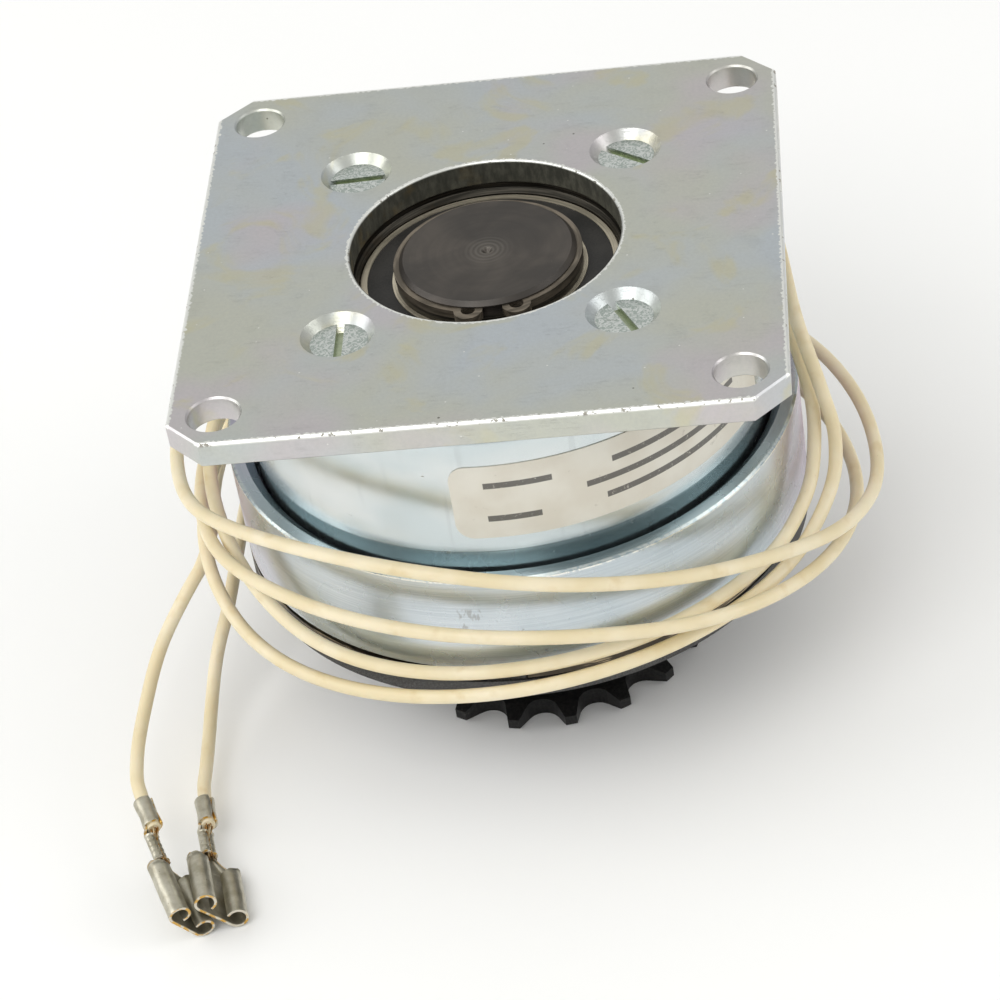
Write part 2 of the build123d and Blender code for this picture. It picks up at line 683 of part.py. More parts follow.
# ---- Leads and terminals ------------------------------------------------------------------------------
# Each lead's route, as (angle about the shaft, radius, height): out of the grommet, down the side, twice
# round the body, then back on itself behind it and down to the floor.
LEAD_ROUTES = (
    [
        (75.0, GROMMET_FACE, -11.8),
        (75.0, 43.3, -11.8),
        (72.5, 46.9, -11.7),
        (68.3, 49.3, -11.6),
        (62.2, 49.8, -11.6),
        (54.0, 48.0, -11.6),
        (43.0, 45.6, -11.6),
        (30.0, 43.2, -11.8),
        (17.0, 41.6, -12.2),
        (5.0, 40.9, -13.2),
        (-3.5, 41.8, -16.4),
        (-8.0, 43.8, -21.0),
        (-9.8, 45.5, -26.8),
        (-10.5, 46.9, -33.0),
        (-16.0, 46.9, -39.5),
        (-34.0, 46.0, -42.9),
        (-58.0, 45.6, -42.9),
        (-82.0, 45.8, -43.4),
        (-105.0, 45.8, -45.4),
        (-127.0, 46.0, -47.8),
        (-146.0, 47.0, -48.6),
        (-161.0, 48.0, -45.8),
        (-174.0, 48.0, -42.2),
        (168.0, 47.4, -40.3),
        (146.0, 46.6, -40.0),
        (124.0, 46.4, -40.3),
        (102.0, 46.4, -40.6),
        (79.0, 46.8, -41.0),
        (56.0, 47.6, -41.0),
        (34.0, 49.4, -40.4),
        (14.0, 51.4, -42.0),
        (-4.0, 52.4, -44.8),
        (-21.0, 50.6, -41.8),
        (-39.0, 48.4, -35.8),
        (-60.0, 47.0, -30.2),
        (-82.0, 46.2, -25.2),
        (-104.0, 46.0, -21.8),
        (-124.0, 46.6, -21.6),
        (-143.0, 48.2, -24.2),
        (-159.0, 49.4, -28.2),
        (-175.0, 49.4, -29.2),
        (170.5, 49.4, -29.2),
        (159.9, 49.9, -29.4),
        (154.0, 50.3, -34.4),
        (154.0, 50.4, -41.4),
        (159.9, 50.2, -46.3),
        (169.5, 48.8, -46.9),
        (179.5, 46.9, -46.3),
        (-170.6, 48.5, -47.6),
        (-167.3, 51.2, -49.2),
        (-165.1, 54.1, -51.9),
        (-162.6, 57.0, -54.4),
        (-159.6, 59.6, -56.8),
        (-156.0, 62.2, -58.9),
        (-152.0, 65.3, -60.8),
        (-148.0, 68.0, -62.0),
        (-145.0, 69.6, -62.6),
        (-139.3, 71.4, -63.8),
    ],
    [
        (75.0, GROMMET_FACE, -14.4),
        (75.0, 43.3, -14.4),
        (72.5, 46.9, -14.5),
        (68.3, 49.3, -14.7),
        (62.2, 49.6, -15.0),
        (53.5, 47.2, -15.2),
        (42.0, 43.6, -15.0),
        (29.0, 41.6, -14.6),
        (15.0, 40.6, -15.2),
        (3.0, 40.2, -18.2),
        (-4.0, 42.0, -23.2),
        (-8.0, 43.6, -28.5),
        (-12.0, 43.9, -34.0),
        (-19.0, 44.1, -38.4),
        (-36.0, 44.3, -40.6),
        (-60.0, 44.2, -40.8),
        (-84.0, 44.2, -41.2),
        (-107.0, 44.2, -42.6),
        (-129.0, 44.5, -43.0),
        (-148.0, 45.0, -39.4),
        (-164.0, 45.4, -32.6),
        (178.0, 44.8, -29.4),
        (156.0, 44.3, -30.0),
        (134.0, 44.3, -31.6),
        (111.0, 44.3, -33.8),
        (88.0, 44.3, -36.8),
        (65.0, 44.2, -40.8),
        (43.0, 45.2, -44.8),
        (22.0, 47.2, -47.2),
        (2.0, 49.0, -48.4),
        (-17.0, 49.0, -46.8),
        (-36.0, 48.4, -43.4),
        (-56.0, 47.8, -39.2),
        (-77.0, 46.6, -35.0),
        (-99.0, 46.0, -33.2),
        (-120.0, 46.2, -32.8),
        (-140.0, 46.8, -33.8),
        (-157.0, 47.6, -36.0),
        (-172.0, 47.2, -36.2),
        (172.0, 46.6, -35.3),
        (158.0, 46.5, -34.6),
        (146.0, 47.2, -34.8),
        (137.0, 48.6, -37.0),
        (132.0, 49.8, -41.6),
        (132.5, 50.4, -47.4),
        (138.0, 50.4, -51.6),
        (147.5, 49.6, -53.6),
        (160.0, 47.6, -54.2),
        (174.0, 45.3, -54.7),
        (-171.0, 46.8, -57.9),
        (-167.6, 48.6, -60.2),
        (-164.0, 50.3, -62.5),
        (-159.2, 52.2, -64.8),
        (-153.0, 54.9, -66.5),
        (-147.5, 57.9, -67.2),
        (-143.5, 60.8, -67.2),
        (-137.5, 64.1, -67.1),
    ],
)
# Each terminal lies along its lead's last run, turned about it by this much to rest on one edge. The lead
# reaches this far into its terminal, which is past the insulation barrel and into the window.
TERMINAL_ROLLS = (-59.0, -47.0)
WIRE_INSERTION = 5.2


def lead_points(route):
    return [polar(radius, angle, height) for angle, radius, height in route]


def lead_radii(points):
    """Each corner's arc: 0.45 of its shorter run, divided by the tangent of half the turn."""
    radii = []
    for before, here, after in zip(points, points[1:], points[2:]):
        arriving = Vector(*here) - Vector(*before)
        leaving = Vector(*after) - Vector(*here)
        half_turn = math.radians(arriving.get_angle(leaving) / 2)
        radii.append(0.45 * min(arriving.length, leaving.length) / math.tan(half_turn))
    return radii


def lead_wire(name, points):
    radii = lead_radii(points)
    path = FilletPolyline(*points, radius=radii)
    start = Plane(origin=points[0], z_dir=Vector(*points[1]) - Vector(*points[0]))
    tube = sweep(start * Circle(LEAD_R), path=path)
    expected = math.pi * LEAD_R**2 * path.length
    print(name, "length", round(path.length, 1), "volume ratio", round(tube.volume / expected, 4))
    print(name, "smallest radii", [round(r, 1) for r in sorted(radii)[:8]])
    return tube


def from_end_on(length, width, height):
    """A block that runs along +X from the origin and stands on height 0."""
    return Box(length, width, height, align=(Align.MIN, Align.CENTER, Align.MIN))


def terminal_rolls(start, half_base):
    """The receptacle's two edges, each rolled up and over towards the middle."""
    rolls = Part()
    for side in (-1, 1):
        outside = Circle(TERMINAL_ROLL_R) - Circle(TERMINAL_ROLL_R - TERMINAL_SHEET)
        opening_height = TERMINAL_ROLL_R
        opening_drop = 0.35
        opening = Pos(-side * TERMINAL_ROLL_R, -opening_drop) * Rectangle(2 * TERMINAL_ROLL_R, opening_height)
        section = Pos(side * half_base, TERMINAL_ROLL_R) * (outside - opening)
        rolls += extrude(Plane.YZ.offset(start) * section, RECEPTACLE_LENGTH)
    return rolls


def terminal():
    """A push-on terminal lying along +X, its underside at height 0 and its wire end at the origin."""
    insulation_end = INSULATION_BARREL_LENGTH
    barrel_start = insulation_end + WINDOW_LENGTH
    neck_start = barrel_start + WIRE_BARREL_LENGTH
    mouth_start = neck_start + NECK_LENGTH
    half_base = TERMINAL_WIDTH / 2 - TERMINAL_ROLL_R
    half_strap = 0.9
    overlap = 0.5
    insulation_ring = Circle(INSULATION_BARREL_R) - Circle(LEAD_R)
    insulation_barrel = Pos(0, 0, TERMINAL_WIRE_HEIGHT) * extrude(Plane.YZ * insulation_ring, insulation_end)
    wire_barrel_height = 1.6
    wire_barrel = extrude(Plane.YZ.offset(barrel_start) * Circle(WIRE_BARREL_R), WIRE_BARREL_LENGTH)
    strap = from_end_on(WINDOW_LENGTH + 2 * overlap, 2 * half_strap, 0.5)
    neck_outline = Polyline(
        (neck_start - overlap, -half_strap),
        (neck_start, -half_strap),
        (mouth_start, -half_base),
        (mouth_start + overlap, -half_base),
        (mouth_start + overlap, half_base),
        (mouth_start, half_base),
        (neck_start, half_strap),
        (neck_start - overlap, half_strap),
        close=True,
    )
    body = insulation_barrel + Pos(0, 0, wire_barrel_height) * wire_barrel
    body += Pos(insulation_end - overlap, 0, INSULATION_BARREL_R - LEAD_R) * strap
    body += Pos(neck_start - overlap, 0, 0) * from_end_on(2 * overlap, 2 * half_strap, 1.0)
    body += extrude(make_face(neck_outline), TERMINAL_SHEET)
    body += Pos(mouth_start, 0, 0) * from_end_on(RECEPTACLE_LENGTH, 2 * half_base, TERMINAL_SHEET)
    return body + terminal_rolls(mouth_start, half_base)


def placed_terminal(points, roll):
    """The terminal on the end of a lead, in line with the lead's last run."""
    before, end = Vector(*points[-2]), Vector(*points[-1])
    along = (end - before).normalized()
    start = end - along * WIRE_INSERTION
    level = Vector(0, 0, 1).cross(along)
    upright = Plane(origin=start, x_dir=along, z_dir=along.cross(level))
    return upright.location * Rot(roll, 0, 0) * Pos(0, 0, -TERMINAL_WIRE_HEIGHT) * terminal()


# ---- Build --------------------------------------------------------------------------------------------
def build():
    os.makedirs("parts", exist_ok=True)
    save("mounting_plate", mounting_plate())
    save("plate_screws", plate_screws())
    save("field_shell", field_shell())
    save("field_inner_pole", field_inner_pole())
    save("coil_bobbin", coil_bobbin())
    save("coil_winding", coil_winding())
    save("coil_tape", coil_tape())
    save("coil_potting", coil_potting())
    save("lead_grommet", lead_grommet())
    save("rating_label", rating_label())
    bearings = {
        "upper_field_bearing": bearing(SHAFT_JOURNAL_R, FIELD_BEARING_OUTER_R, FIELD_BEARING_TOPS[0]),
        "lower_field_bearing": bearing(SHAFT_JOURNAL_R, FIELD_BEARING_OUTER_R, FIELD_BEARING_TOPS[1]),
        "upper_hub_bearing": bearing(HUB_JOURNAL_R, HUB_BEARING_OUTER_R, HUB_BEARING_TOPS[0]),
        "lower_hub_bearing": bearing(HUB_JOURNAL_R, HUB_BEARING_OUTER_R, HUB_BEARING_TOPS[1]),
    }
    for bearing_name, pieces in bearings.items():
        for piece_name, shape in pieces.items():
            save(f"{bearing_name}_{piece_name}", shape)
    save("rotor_shaft", rotor_shaft())
    save("upper_retaining_ring", upper_retaining_ring())
    save("lower_retaining_ring", lower_retaining_ring())
    save("ring_spacer", ring_spacer())
    save("bearing_spacer", bearing_spacer())
    save("hub_bearing_spacer", hub_bearing_spacer())
    save("lower_washer", lower_washer())
    save("rotor", rotor())
    save("friction_facing", friction_facing())
    save("armature", armature())
    save("armature_rivets", armature_rivets())
    save("driver_disc", driver_disc())
    save("driver_rivets", driver_rivets())
    save("return_springs", return_springs())
    save("sprocket_hub", sprocket_hub())
    for number, (route, roll) in enumerate(zip(LEAD_ROUTES, TERMINAL_ROLLS), 1):
        points = lead_points(route)
        save(f"lead_wire_{number}", lead_wire(f"lead_wire_{number}", points))
        save(f"terminal_{number}", placed_terminal(points, roll))


build()
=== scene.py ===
import math
import random

import bmesh
import bpy
from mathutils import Matrix, Vector, noise


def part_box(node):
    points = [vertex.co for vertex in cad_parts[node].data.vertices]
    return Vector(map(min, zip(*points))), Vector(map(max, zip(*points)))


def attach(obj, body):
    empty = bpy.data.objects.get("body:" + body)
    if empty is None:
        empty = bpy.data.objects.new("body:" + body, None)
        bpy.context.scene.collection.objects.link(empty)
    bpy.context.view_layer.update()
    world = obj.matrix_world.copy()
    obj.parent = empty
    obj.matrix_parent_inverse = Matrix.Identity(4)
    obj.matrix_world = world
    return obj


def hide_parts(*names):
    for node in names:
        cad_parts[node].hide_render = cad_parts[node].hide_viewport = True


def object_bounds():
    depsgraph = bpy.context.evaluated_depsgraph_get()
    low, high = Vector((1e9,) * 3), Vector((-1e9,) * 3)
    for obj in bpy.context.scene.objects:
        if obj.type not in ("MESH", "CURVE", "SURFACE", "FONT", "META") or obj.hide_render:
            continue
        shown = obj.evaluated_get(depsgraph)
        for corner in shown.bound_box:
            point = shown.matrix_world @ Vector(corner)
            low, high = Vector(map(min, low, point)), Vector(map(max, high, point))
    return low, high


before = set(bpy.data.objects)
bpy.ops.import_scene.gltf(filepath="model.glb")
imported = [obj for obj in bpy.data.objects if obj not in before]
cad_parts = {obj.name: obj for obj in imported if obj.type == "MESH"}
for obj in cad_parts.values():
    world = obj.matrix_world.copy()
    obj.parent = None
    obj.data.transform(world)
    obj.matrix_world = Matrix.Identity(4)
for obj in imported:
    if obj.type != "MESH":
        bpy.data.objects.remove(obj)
CAD_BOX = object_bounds()

# Looks of an electromagnetic clutch: its camera and lights, its two free leads with their push-on
# terminals, and a procedural finish for every piece. Metres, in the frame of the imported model. +Z is up
# along the shaft.

MM = 0.001
FLOOR_HEIGHT = CAD_BOX[0].z

# ---- Camera: where it stands, seen from the model's middle -------------------------------------------
CAMERA_PLACE = Vector((0.05247, -0.39674, 0.27484))
CAMERA_AZIMUTH = math.radians(8.115)
CAMERA_ELEVATION = math.radians(38.75)
CAMERA_ROLL = math.radians(-9.70)
CAMERA_LENS = 125.54
CAMERA_SENSOR = 36.0

# ---- Floor and lights: the floor's half side, where the lights aim, and the world's two greys
FLOOR_HALF = 1.6
LIGHT_AIM = (0, 0, -0.03)
LOW_SKY = (0.42, 0.43, 0.45, 1)
HIGH_SKY = (0.68, 0.68, 0.665, 1)
HIGH_SKY_FROM = 0.6

# ---- Leads: each route as (angle about the shaft in degrees, radius, height), out of the grommet, down the
# side, twice round the body, then back on itself behind it and down to a few millimetres above the floor
LEAD_DIAMETER = 0.002
LEAD_LENGTHS = (0.6378, 0.6404)
LEAD_ROUTES = (
    [
        (75.0, 0.0393, -0.0118), (75.0, 0.0433, -0.0118), (72.5, 0.0469, -0.0117),
        (68.3, 0.0493, -0.0116), (62.2, 0.0498, -0.0116), (54.0, 0.0480, -0.0116),
        (43.0, 0.0456, -0.0116), (30.0, 0.0432, -0.0118), (17.0, 0.0416, -0.0122),
        (5.0, 0.0409, -0.0132), (-3.5, 0.0418, -0.0164), (-8.0, 0.0438, -0.0210),
        (-9.8, 0.0455, -0.0268), (-10.5, 0.0469, -0.0330), (-16.0, 0.0469, -0.0395),
        (-34.0, 0.0460, -0.0429), (-58.0, 0.0456, -0.0429), (-82.0, 0.0458, -0.0434),
        (-105.0, 0.0458, -0.0454), (-127.0, 0.0460, -0.0478), (-146.0, 0.0470, -0.0486),
        (-161.0, 0.0480, -0.0458), (-174.0, 0.0480, -0.0422), (168.0, 0.0474, -0.0403),
        (146.0, 0.0466, -0.0400), (124.0, 0.0464, -0.0403), (102.0, 0.0464, -0.0406),
        (79.0, 0.0468, -0.0410), (56.0, 0.0476, -0.0410), (34.0, 0.0494, -0.0404),
        (14.0, 0.0514, -0.0420), (-4.0, 0.0524, -0.0448), (-21.0, 0.0506, -0.0418),
        (-39.0, 0.0484, -0.0358), (-60.0, 0.0470, -0.0302), (-82.0, 0.0462, -0.0252),
        (-104.0, 0.0460, -0.0218), (-124.0, 0.0466, -0.0216), (-143.0, 0.0482, -0.0242),
        (-159.0, 0.0494, -0.0282), (-175.0, 0.0494, -0.0292), (170.5, 0.0494, -0.0292),
        (159.9, 0.0499, -0.0294), (154.0, 0.0503, -0.0344), (154.0, 0.0504, -0.0414),
        (159.9, 0.0502, -0.0463), (169.5, 0.0488, -0.0469), (179.5, 0.0469, -0.0463),
        (-170.6, 0.0485, -0.0476), (-167.3, 0.0512, -0.0492), (-165.1, 0.0541, -0.0519),
        (-162.6, 0.0570, -0.0544), (-159.6, 0.0596, -0.0568), (-156.0, 0.0622, -0.0589),
        (-152.0, 0.0653, -0.0608), (-148.0, 0.0680, -0.0620), (-145.0, 0.0696, -0.0626),
        (-139.3, 0.0714, -0.0638),
    ],
    [
        (75.0, 0.0393, -0.0144), (75.0, 0.0433, -0.0144), (72.5, 0.0469, -0.0145),
        (68.3, 0.0493, -0.0147), (62.2, 0.0496, -0.0150), (53.5, 0.0472, -0.0152),
        (42.0, 0.0436, -0.0150), (29.0, 0.0416, -0.0146), (15.0, 0.0406, -0.0152),
        (3.0, 0.0402, -0.0182), (-4.0, 0.0420, -0.0232), (-8.0, 0.0436, -0.0285),
        (-12.0, 0.0439, -0.0340), (-19.0, 0.0441, -0.0384), (-36.0, 0.0443, -0.0406),
        (-60.0, 0.0442, -0.0408), (-84.0, 0.0442, -0.0412), (-107.0, 0.0442, -0.0426),
        (-129.0, 0.0445, -0.0430), (-148.0, 0.0450, -0.0394), (-164.0, 0.0454, -0.0326),
        (178.0, 0.0448, -0.0294), (156.0, 0.0443, -0.0300), (134.0, 0.0443, -0.0316),
        (111.0, 0.0443, -0.0338), (88.0, 0.0443, -0.0368), (65.0, 0.0442, -0.0408),
        (43.0, 0.0452, -0.0448), (22.0, 0.0472, -0.0472), (2.0, 0.0490, -0.0484),
        (-17.0, 0.0490, -0.0468), (-36.0, 0.0484, -0.0434), (-56.0, 0.0478, -0.0392),
        (-77.0, 0.0466, -0.0350), (-99.0, 0.0460, -0.0332), (-120.0, 0.0462, -0.0328),
        (-140.0, 0.0468, -0.0338), (-157.0, 0.0476, -0.0360), (-172.0, 0.0472, -0.0362),
        (172.0, 0.0466, -0.0353), (158.0, 0.0465, -0.0346), (146.0, 0.0472, -0.0348),
        (137.0, 0.0486, -0.0370), (132.0, 0.0498, -0.0416), (132.5, 0.0504, -0.0474),
        (138.0, 0.0504, -0.0516), (147.5, 0.0496, -0.0536), (160.0, 0.0476, -0.0542),
        (174.0, 0.0453, -0.0547), (-171.0, 0.0468, -0.0579), (-167.6, 0.0486, -0.0602),
        (-164.0, 0.0503, -0.0625), (-159.2, 0.0522, -0.0648), (-153.0, 0.0549, -0.0665),
        (-147.5, 0.0579, -0.0672), (-143.5, 0.0608, -0.0672), (-137.5, 0.0641, -0.0671),
    ],
)

# ---- Terminals: stations along +X from the wire's end of the terminal, and the formed sheet's sizes --
TERMINAL_ROLLS = (math.radians(-59.0), math.radians(-47.0))
WIRE_INSERTION = 5.2 * MM
WIRE_HEIGHT = 2.0 * MM
SHEET = 0.4 * MM
INSULATION_BARREL_END = 4.7 * MM
WIRE_BARREL_START = 6.0 * MM
WIRE_BARREL_END = 10.7 * MM
MOUTH_START = 13.2 * MM
MOUTH_END = 22.6 * MM
ROLL_CENTRE = 2.8 * MM
ROLL_MIDLINE_R = 1.4 * MM
NOISE_SEED = 7
INSULATION_WING_MM = 1.18
WIRE_WING_MM = 0.53
STRAP_HALF_MM = 0.5
STRANDS = 12
STRAND_R = 0.11 * MM

# ---- Sizes of the finishes' landmarks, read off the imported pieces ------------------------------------
PLATE_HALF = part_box("mounting_plate")[1].x
BORE_R = 19.05 * MM
FIELD_BAND_FADE = (-0.0248, -0.0252)
FIELD_GROOVE_SHADE = (-0.02512, -0.02496)
ROTOR_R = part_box("rotor")[1].x
ROTOR_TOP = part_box("rotor")[1].z


# ---- Building materials ------------------------------------------------------------------------------
def tint(red, green, blue):
    """A colour given as display values from 0 to 255, in the linear values that shaders take."""

    def linear(value):
        share = value / 255
        return share / 12.92 if share <= 0.04045 else ((share + 0.055) / 1.055) ** 2.4

    return (linear(red), linear(green), linear(blue), 1.0)


class Look:
    """A procedural material: a Principled shader, and short ways to make the patterns that feed it."""

    def __init__(self, name, metal, rough):
        self.material = bpy.data.materials.new(name)
        self.material.use_nodes = True
        self.tree = self.material.node_tree
        self.shader = next(node for node in self.tree.nodes if node.type == "BSDF_PRINCIPLED")
        self.shader.inputs["Metallic"].default_value = metal
        self.shader.inputs["Roughness"].default_value = rough
        self.place = self.node("ShaderNodeTexCoord").outputs["Object"]
        split = self.node("ShaderNodeSeparateXYZ")
        self.feed(split.inputs[0], self.place)
        self.x, self.y, self.z = split.outputs
        self.relief = None

    def node(self, kind, **settings):
        made = self.tree.nodes.new(kind)
        for key, value in settings.items():
            setattr(made, key, value)
        return made

    def feed(self, socket, value):
        if isinstance(value, bpy.types.NodeSocket):
            self.tree.links.new(value, socket)
        else:
            socket.default_value = value

    def calc(self, operation, first, second=0.0, third=0.0):
        made = self.node("ShaderNodeMath", operation=operation)
        for socket, value in zip(made.inputs, (first, second, third)):
            self.feed(socket, value)
        return made.outputs[0]

    def times(self, first, second):
        return self.calc("MULTIPLY", first, second)

    def ease(self, value, low, high):
        """0 below low, 1 above high, and smooth between; low may be the larger one."""
        made = self.node("ShaderNodeMapRange", interpolation_type="SMOOTHSTEP")
        self.feed(made.inputs["Value"], value)
        self.feed(made.inputs["From Min"], min(low, high))
        self.feed(made.inputs["From Max"], max(low, high))
        self.feed(made.inputs["To Min"], 0.0 if low < high else 1.0)
        self.feed(made.inputs["To Max"], 1.0 if low < high else 0.0)
        return made.outputs[0]

    def within(self, value, low, high, soft):
        """1 between low and high, and 0 outside."""
        return self.times(self.ease(value, low - soft, low), self.ease(value, high + soft, high))

    def blend(self, share, first, second):
        made = self.node("ShaderNodeMix", data_type="RGBA")
        self.feed(made.inputs[0], share)
        self.feed(made.inputs[6], first)
        self.feed(made.inputs[7], second)
        return made.outputs[2]

    def cover(self, colour, mask, strength, over):
        """The colour with another laid over it where the mask is 1, at this strength."""
        return self.blend(self.times(mask, strength), colour, over)

    def vector(self, x, y, z):
        made = self.node("ShaderNodeCombineXYZ")
        for socket, value in zip(made.inputs, (x, y, z)):
            self.feed(socket, value)
        return made.outputs[0]

    def moved(self, stretch=(1, 1, 1), turn=(0, 0, 0), shift=(0, 0, 0)):
        made = self.node("ShaderNodeMapping")
        self.feed(made.inputs["Vector"], self.place)
        self.feed(made.inputs["Scale"], stretch)
        self.feed(made.inputs["Rotation"], turn)
        self.feed(made.inputs["Location"], shift)
        return made.outputs[0]

    def noise(self, size, detail=3.0, place=None, gain=0.5, warp=0.0):
        """Cloudy noise whose blobs are about size across, in metres."""
        made = self.node("ShaderNodeTexNoise")
        self.feed(made.inputs["Vector"], self.place if place is None else place)
        self.feed(made.inputs["Scale"], 1 / size)
        self.feed(made.inputs["Detail"], detail)
        self.feed(made.inputs["Roughness"], gain)
        self.feed(made.inputs["Distortion"], warp)
        return made.outputs["Fac"]

    def specks(self, cell, radius, share, place=None):
        """Round specks: one in each cell of this size, in metres, and only in this share of the cells."""
        made = self.node("ShaderNodeTexVoronoi")
        self.feed(made.inputs["Vector"], self.place if place is None else place)
        self.feed(made.inputs["Scale"], 1 / cell)
        near = self.ease(made.outputs["Distance"], radius / cell, 0.6 * radius / cell)
        split = self.node("ShaderNodeSeparateColor")
        self.feed(split.inputs[0], made.outputs["Color"])
        return self.times(near, self.calc("LESS_THAN", split.outputs[0], share))

    def scratches(self, spacing, turn, long=14.0, fine=0.012, patches=0.54):
        """Thin lines along one direction, broken into patches."""
        along = self.moved(stretch=(1 / long, 1, 1), turn=(0, 0, turn))
        field = self.noise(spacing, 1.5, along)
        line = self.ease(self.calc("ABSOLUTE", self.calc("SUBTRACT", field, 0.5)), fine, 0.2 * fine)
        patch = self.ease(self.noise(7 * spacing, 2.0), patches, patches + 0.08)
        return self.times(line, patch)

    def radius(self):
        squares = self.calc("ADD", self.calc("POWER", self.x, 2.0), self.calc("POWER", self.y, 2.0))
        return self.calc("POWER", squares, 0.5)

    def angle(self):
        """The angle about the shaft in degrees, from -180 to 180."""
        return self.times(self.calc("ARCTAN2", self.y, self.x), 180 / math.pi)

    def turned(self, spacing, run=1.0, detail=2.0):
        """Marks of turning: noise that changes fast across the cut and slowly along it."""
        radius = self.radius()
        across = self.calc("DIVIDE", self.calc("ADD", radius, self.z), spacing)
        along = [self.times(self.calc("DIVIDE", value, radius), run) for value in (self.x, self.y)]
        return self.noise(1.0, detail, self.vector(along[0], along[1], across))

    def facing_up(self):
        """The height part of the surface's own normal: 1 on a level face, 0 on an upright wall."""
        made = self.node("ShaderNodeNewGeometry")
        split = self.node("ShaderNodeSeparateXYZ")
        self.feed(split.inputs[0], made.outputs["True Normal"])
        return split.outputs["Z"]

    def bump(self, height, depth):
        """Adds relief of this depth, in metres, to what the surface has already."""
        made = self.node("ShaderNodeBump")
        self.feed(made.inputs["Height"], height)
        self.feed(made.inputs["Distance"], depth)
        if self.relief is not None:
            self.feed(made.inputs["Normal"], self.relief)
        self.relief = made.outputs[0]

    def done(self, colour, rough=None, metal=None):
        self.feed(self.shader.inputs["Base Color"], colour)
        if rough is not None:
            self.feed(self.shader.inputs["Roughness"], rough)
        if metal is not None:
            self.feed(self.shader.inputs["Metallic"], metal)
        if self.relief is not None:
            self.feed(self.shader.inputs["Normal"], self.relief)
        return self.material

    def spread(self, value, low, high):
        """A 0 to 1 value taken to the range from low to high."""
        return self.calc("MULTIPLY_ADD", value, high - low, low)


# ---- Finishes of the plated parts --------------------------------------------------------------------
def plate_zinc():
    """Zinc plate with faint colour clouds, handling marks, worn bright edges and a dull, rusty bore."""
    look = Look("plate_zinc", 0.9, 0.36)
    clouds = look.ease(look.noise(0.030, 3.0, warp=0.6), 0.36, 0.66)
    colour = look.blend(clouds, tint(205, 206, 192), tint(199, 206, 212))
    blush = look.ease(look.noise(0.021, 2.0, look.moved(shift=(0.3, 0.1, 0.2))), 0.52, 0.74)
    colour = look.cover(colour, blush, 0.75, tint(210, 200, 206))
    grain = look.noise(0.0005, 3.0, gain=0.65)
    colour = look.blend(look.spread(grain, 0.0, 0.5), colour, tint(168, 172, 170))
    marks = look.calc("MAXIMUM", look.scratches(0.0005, 0.5), look.scratches(0.0006, -0.9, patches=0.56))
    colour = look.cover(colour, marks, 0.14, tint(160, 160, 152))
    stain = look.ease(look.noise(0.013, 4.0, look.moved(shift=(0.7, 0.4, 0)), warp=1.2), 0.54, 0.68)
    colour = look.cover(colour, stain, 0.5, tint(204, 198, 160))
    bright = look.specks(0.0022, 0.00016, 0.35)
    colour = look.cover(colour, bright, 0.7, tint(240, 240, 235))
    dark = look.specks(0.0043, 0.00022, 0.3, look.moved(shift=(0.5, 0, 0)))
    colour = look.cover(colour, dark, 0.75, tint(70, 66, 56))
    rough = look.spread(look.noise(0.004, 3.0), 0.27, 0.46)

    side = look.calc("MAXIMUM", look.calc("ABSOLUTE", look.x), look.calc("ABSOLUTE", look.y))
    radius = look.radius()
    to_side = look.calc("SUBTRACT", PLATE_HALF, side)
    to_bore = look.calc("SUBTRACT", radius, BORE_R)
    to_rim = look.calc("MINIMUM", to_side, to_bore)
    ragged = look.calc("MULTIPLY_ADD", look.noise(0.0006, 3.0), -0.0011, to_rim)
    near_top = look.ease(look.z, -0.0006, -0.0003)
    worn = look.times(look.ease(ragged, 0.00006, -0.0001), near_top)
    colour = look.blend(worn, colour, tint(238, 239, 234))
    chips = look.ease(look.noise(0.0011, 3.0, gain=0.6), 0.6, 0.66)
    chips = look.times(chips, look.times(look.ease(to_rim, 0.0004, 0.00015), near_top))
    colour = look.cover(colour, chips, 0.7, tint(112, 100, 78))
    rough = look.calc("ADD", rough, look.times(chips, 0.3))

    wall = look.ease(radius, BORE_R + 0.0003, BORE_R + 0.0001)
    wall = look.times(wall, look.ease(look.z, -0.00005, -0.00025))
    upright = look.moved(stretch=(1, 1, 0.35))
    blots = look.ease(look.noise(0.0009, 4.0, upright, gain=0.65), 0.36, 0.74)
    oxide = look.blend(blots, tint(66, 66, 58), tint(98, 97, 86))
    rust = look.ease(look.noise(0.0032, 4.0, look.moved(shift=(0, 0.2, 0)), gain=0.6), 0.5, 0.72)
    rust = look.times(rust, look.ease(look.x, 0.004, -0.012))
    oxide = look.cover(oxide, rust, 0.45, tint(116, 96, 52))
    colour = look.blend(wall, colour, oxide)
    rough = look.calc("ADD", rough, look.times(wall, 0.2))

    look.bump(grain, 0.000012)
    look.bump(look.times(marks, -1.0), 0.00001)
    look.bump(look.times(chips, -1.0), 0.00006)
    metal = look.calc("MULTIPLY_ADD", look.calc("MAXIMUM", wall, chips), -0.5, 0.9)
    return look.done(colour, rough, metal)


def screw_zinc():
    """Bright zinc screw heads: faint turning marks, a greenish slot and dull scratches."""
    look = Look("screw_zinc", 0.95, 0.3)
    swirl = look.noise(0.0009, 3.0, warp=2.5)
    colour = look.blend(look.ease(swirl, 0.44, 0.56), tint(172, 182, 176), tint(216, 220, 217))
    slot_top = -0.00145
    slot_bottom = -0.0018
    deep = look.ease(look.z, slot_top, slot_bottom)
    green = look.blend(look.noise(0.0007, 3.0), tint(150, 162, 136), tint(198, 206, 178))
    colour = look.blend(deep, colour, green)
    marks = look.scratches(0.0007, 1.1, patches=0.48)
    colour = look.cover(colour, marks, 0.5, tint(130, 130, 122))
    look.bump(swirl, 0.00003)
    return look.done(colour, look.spread(look.noise(0.002), 0.2, 0.42))


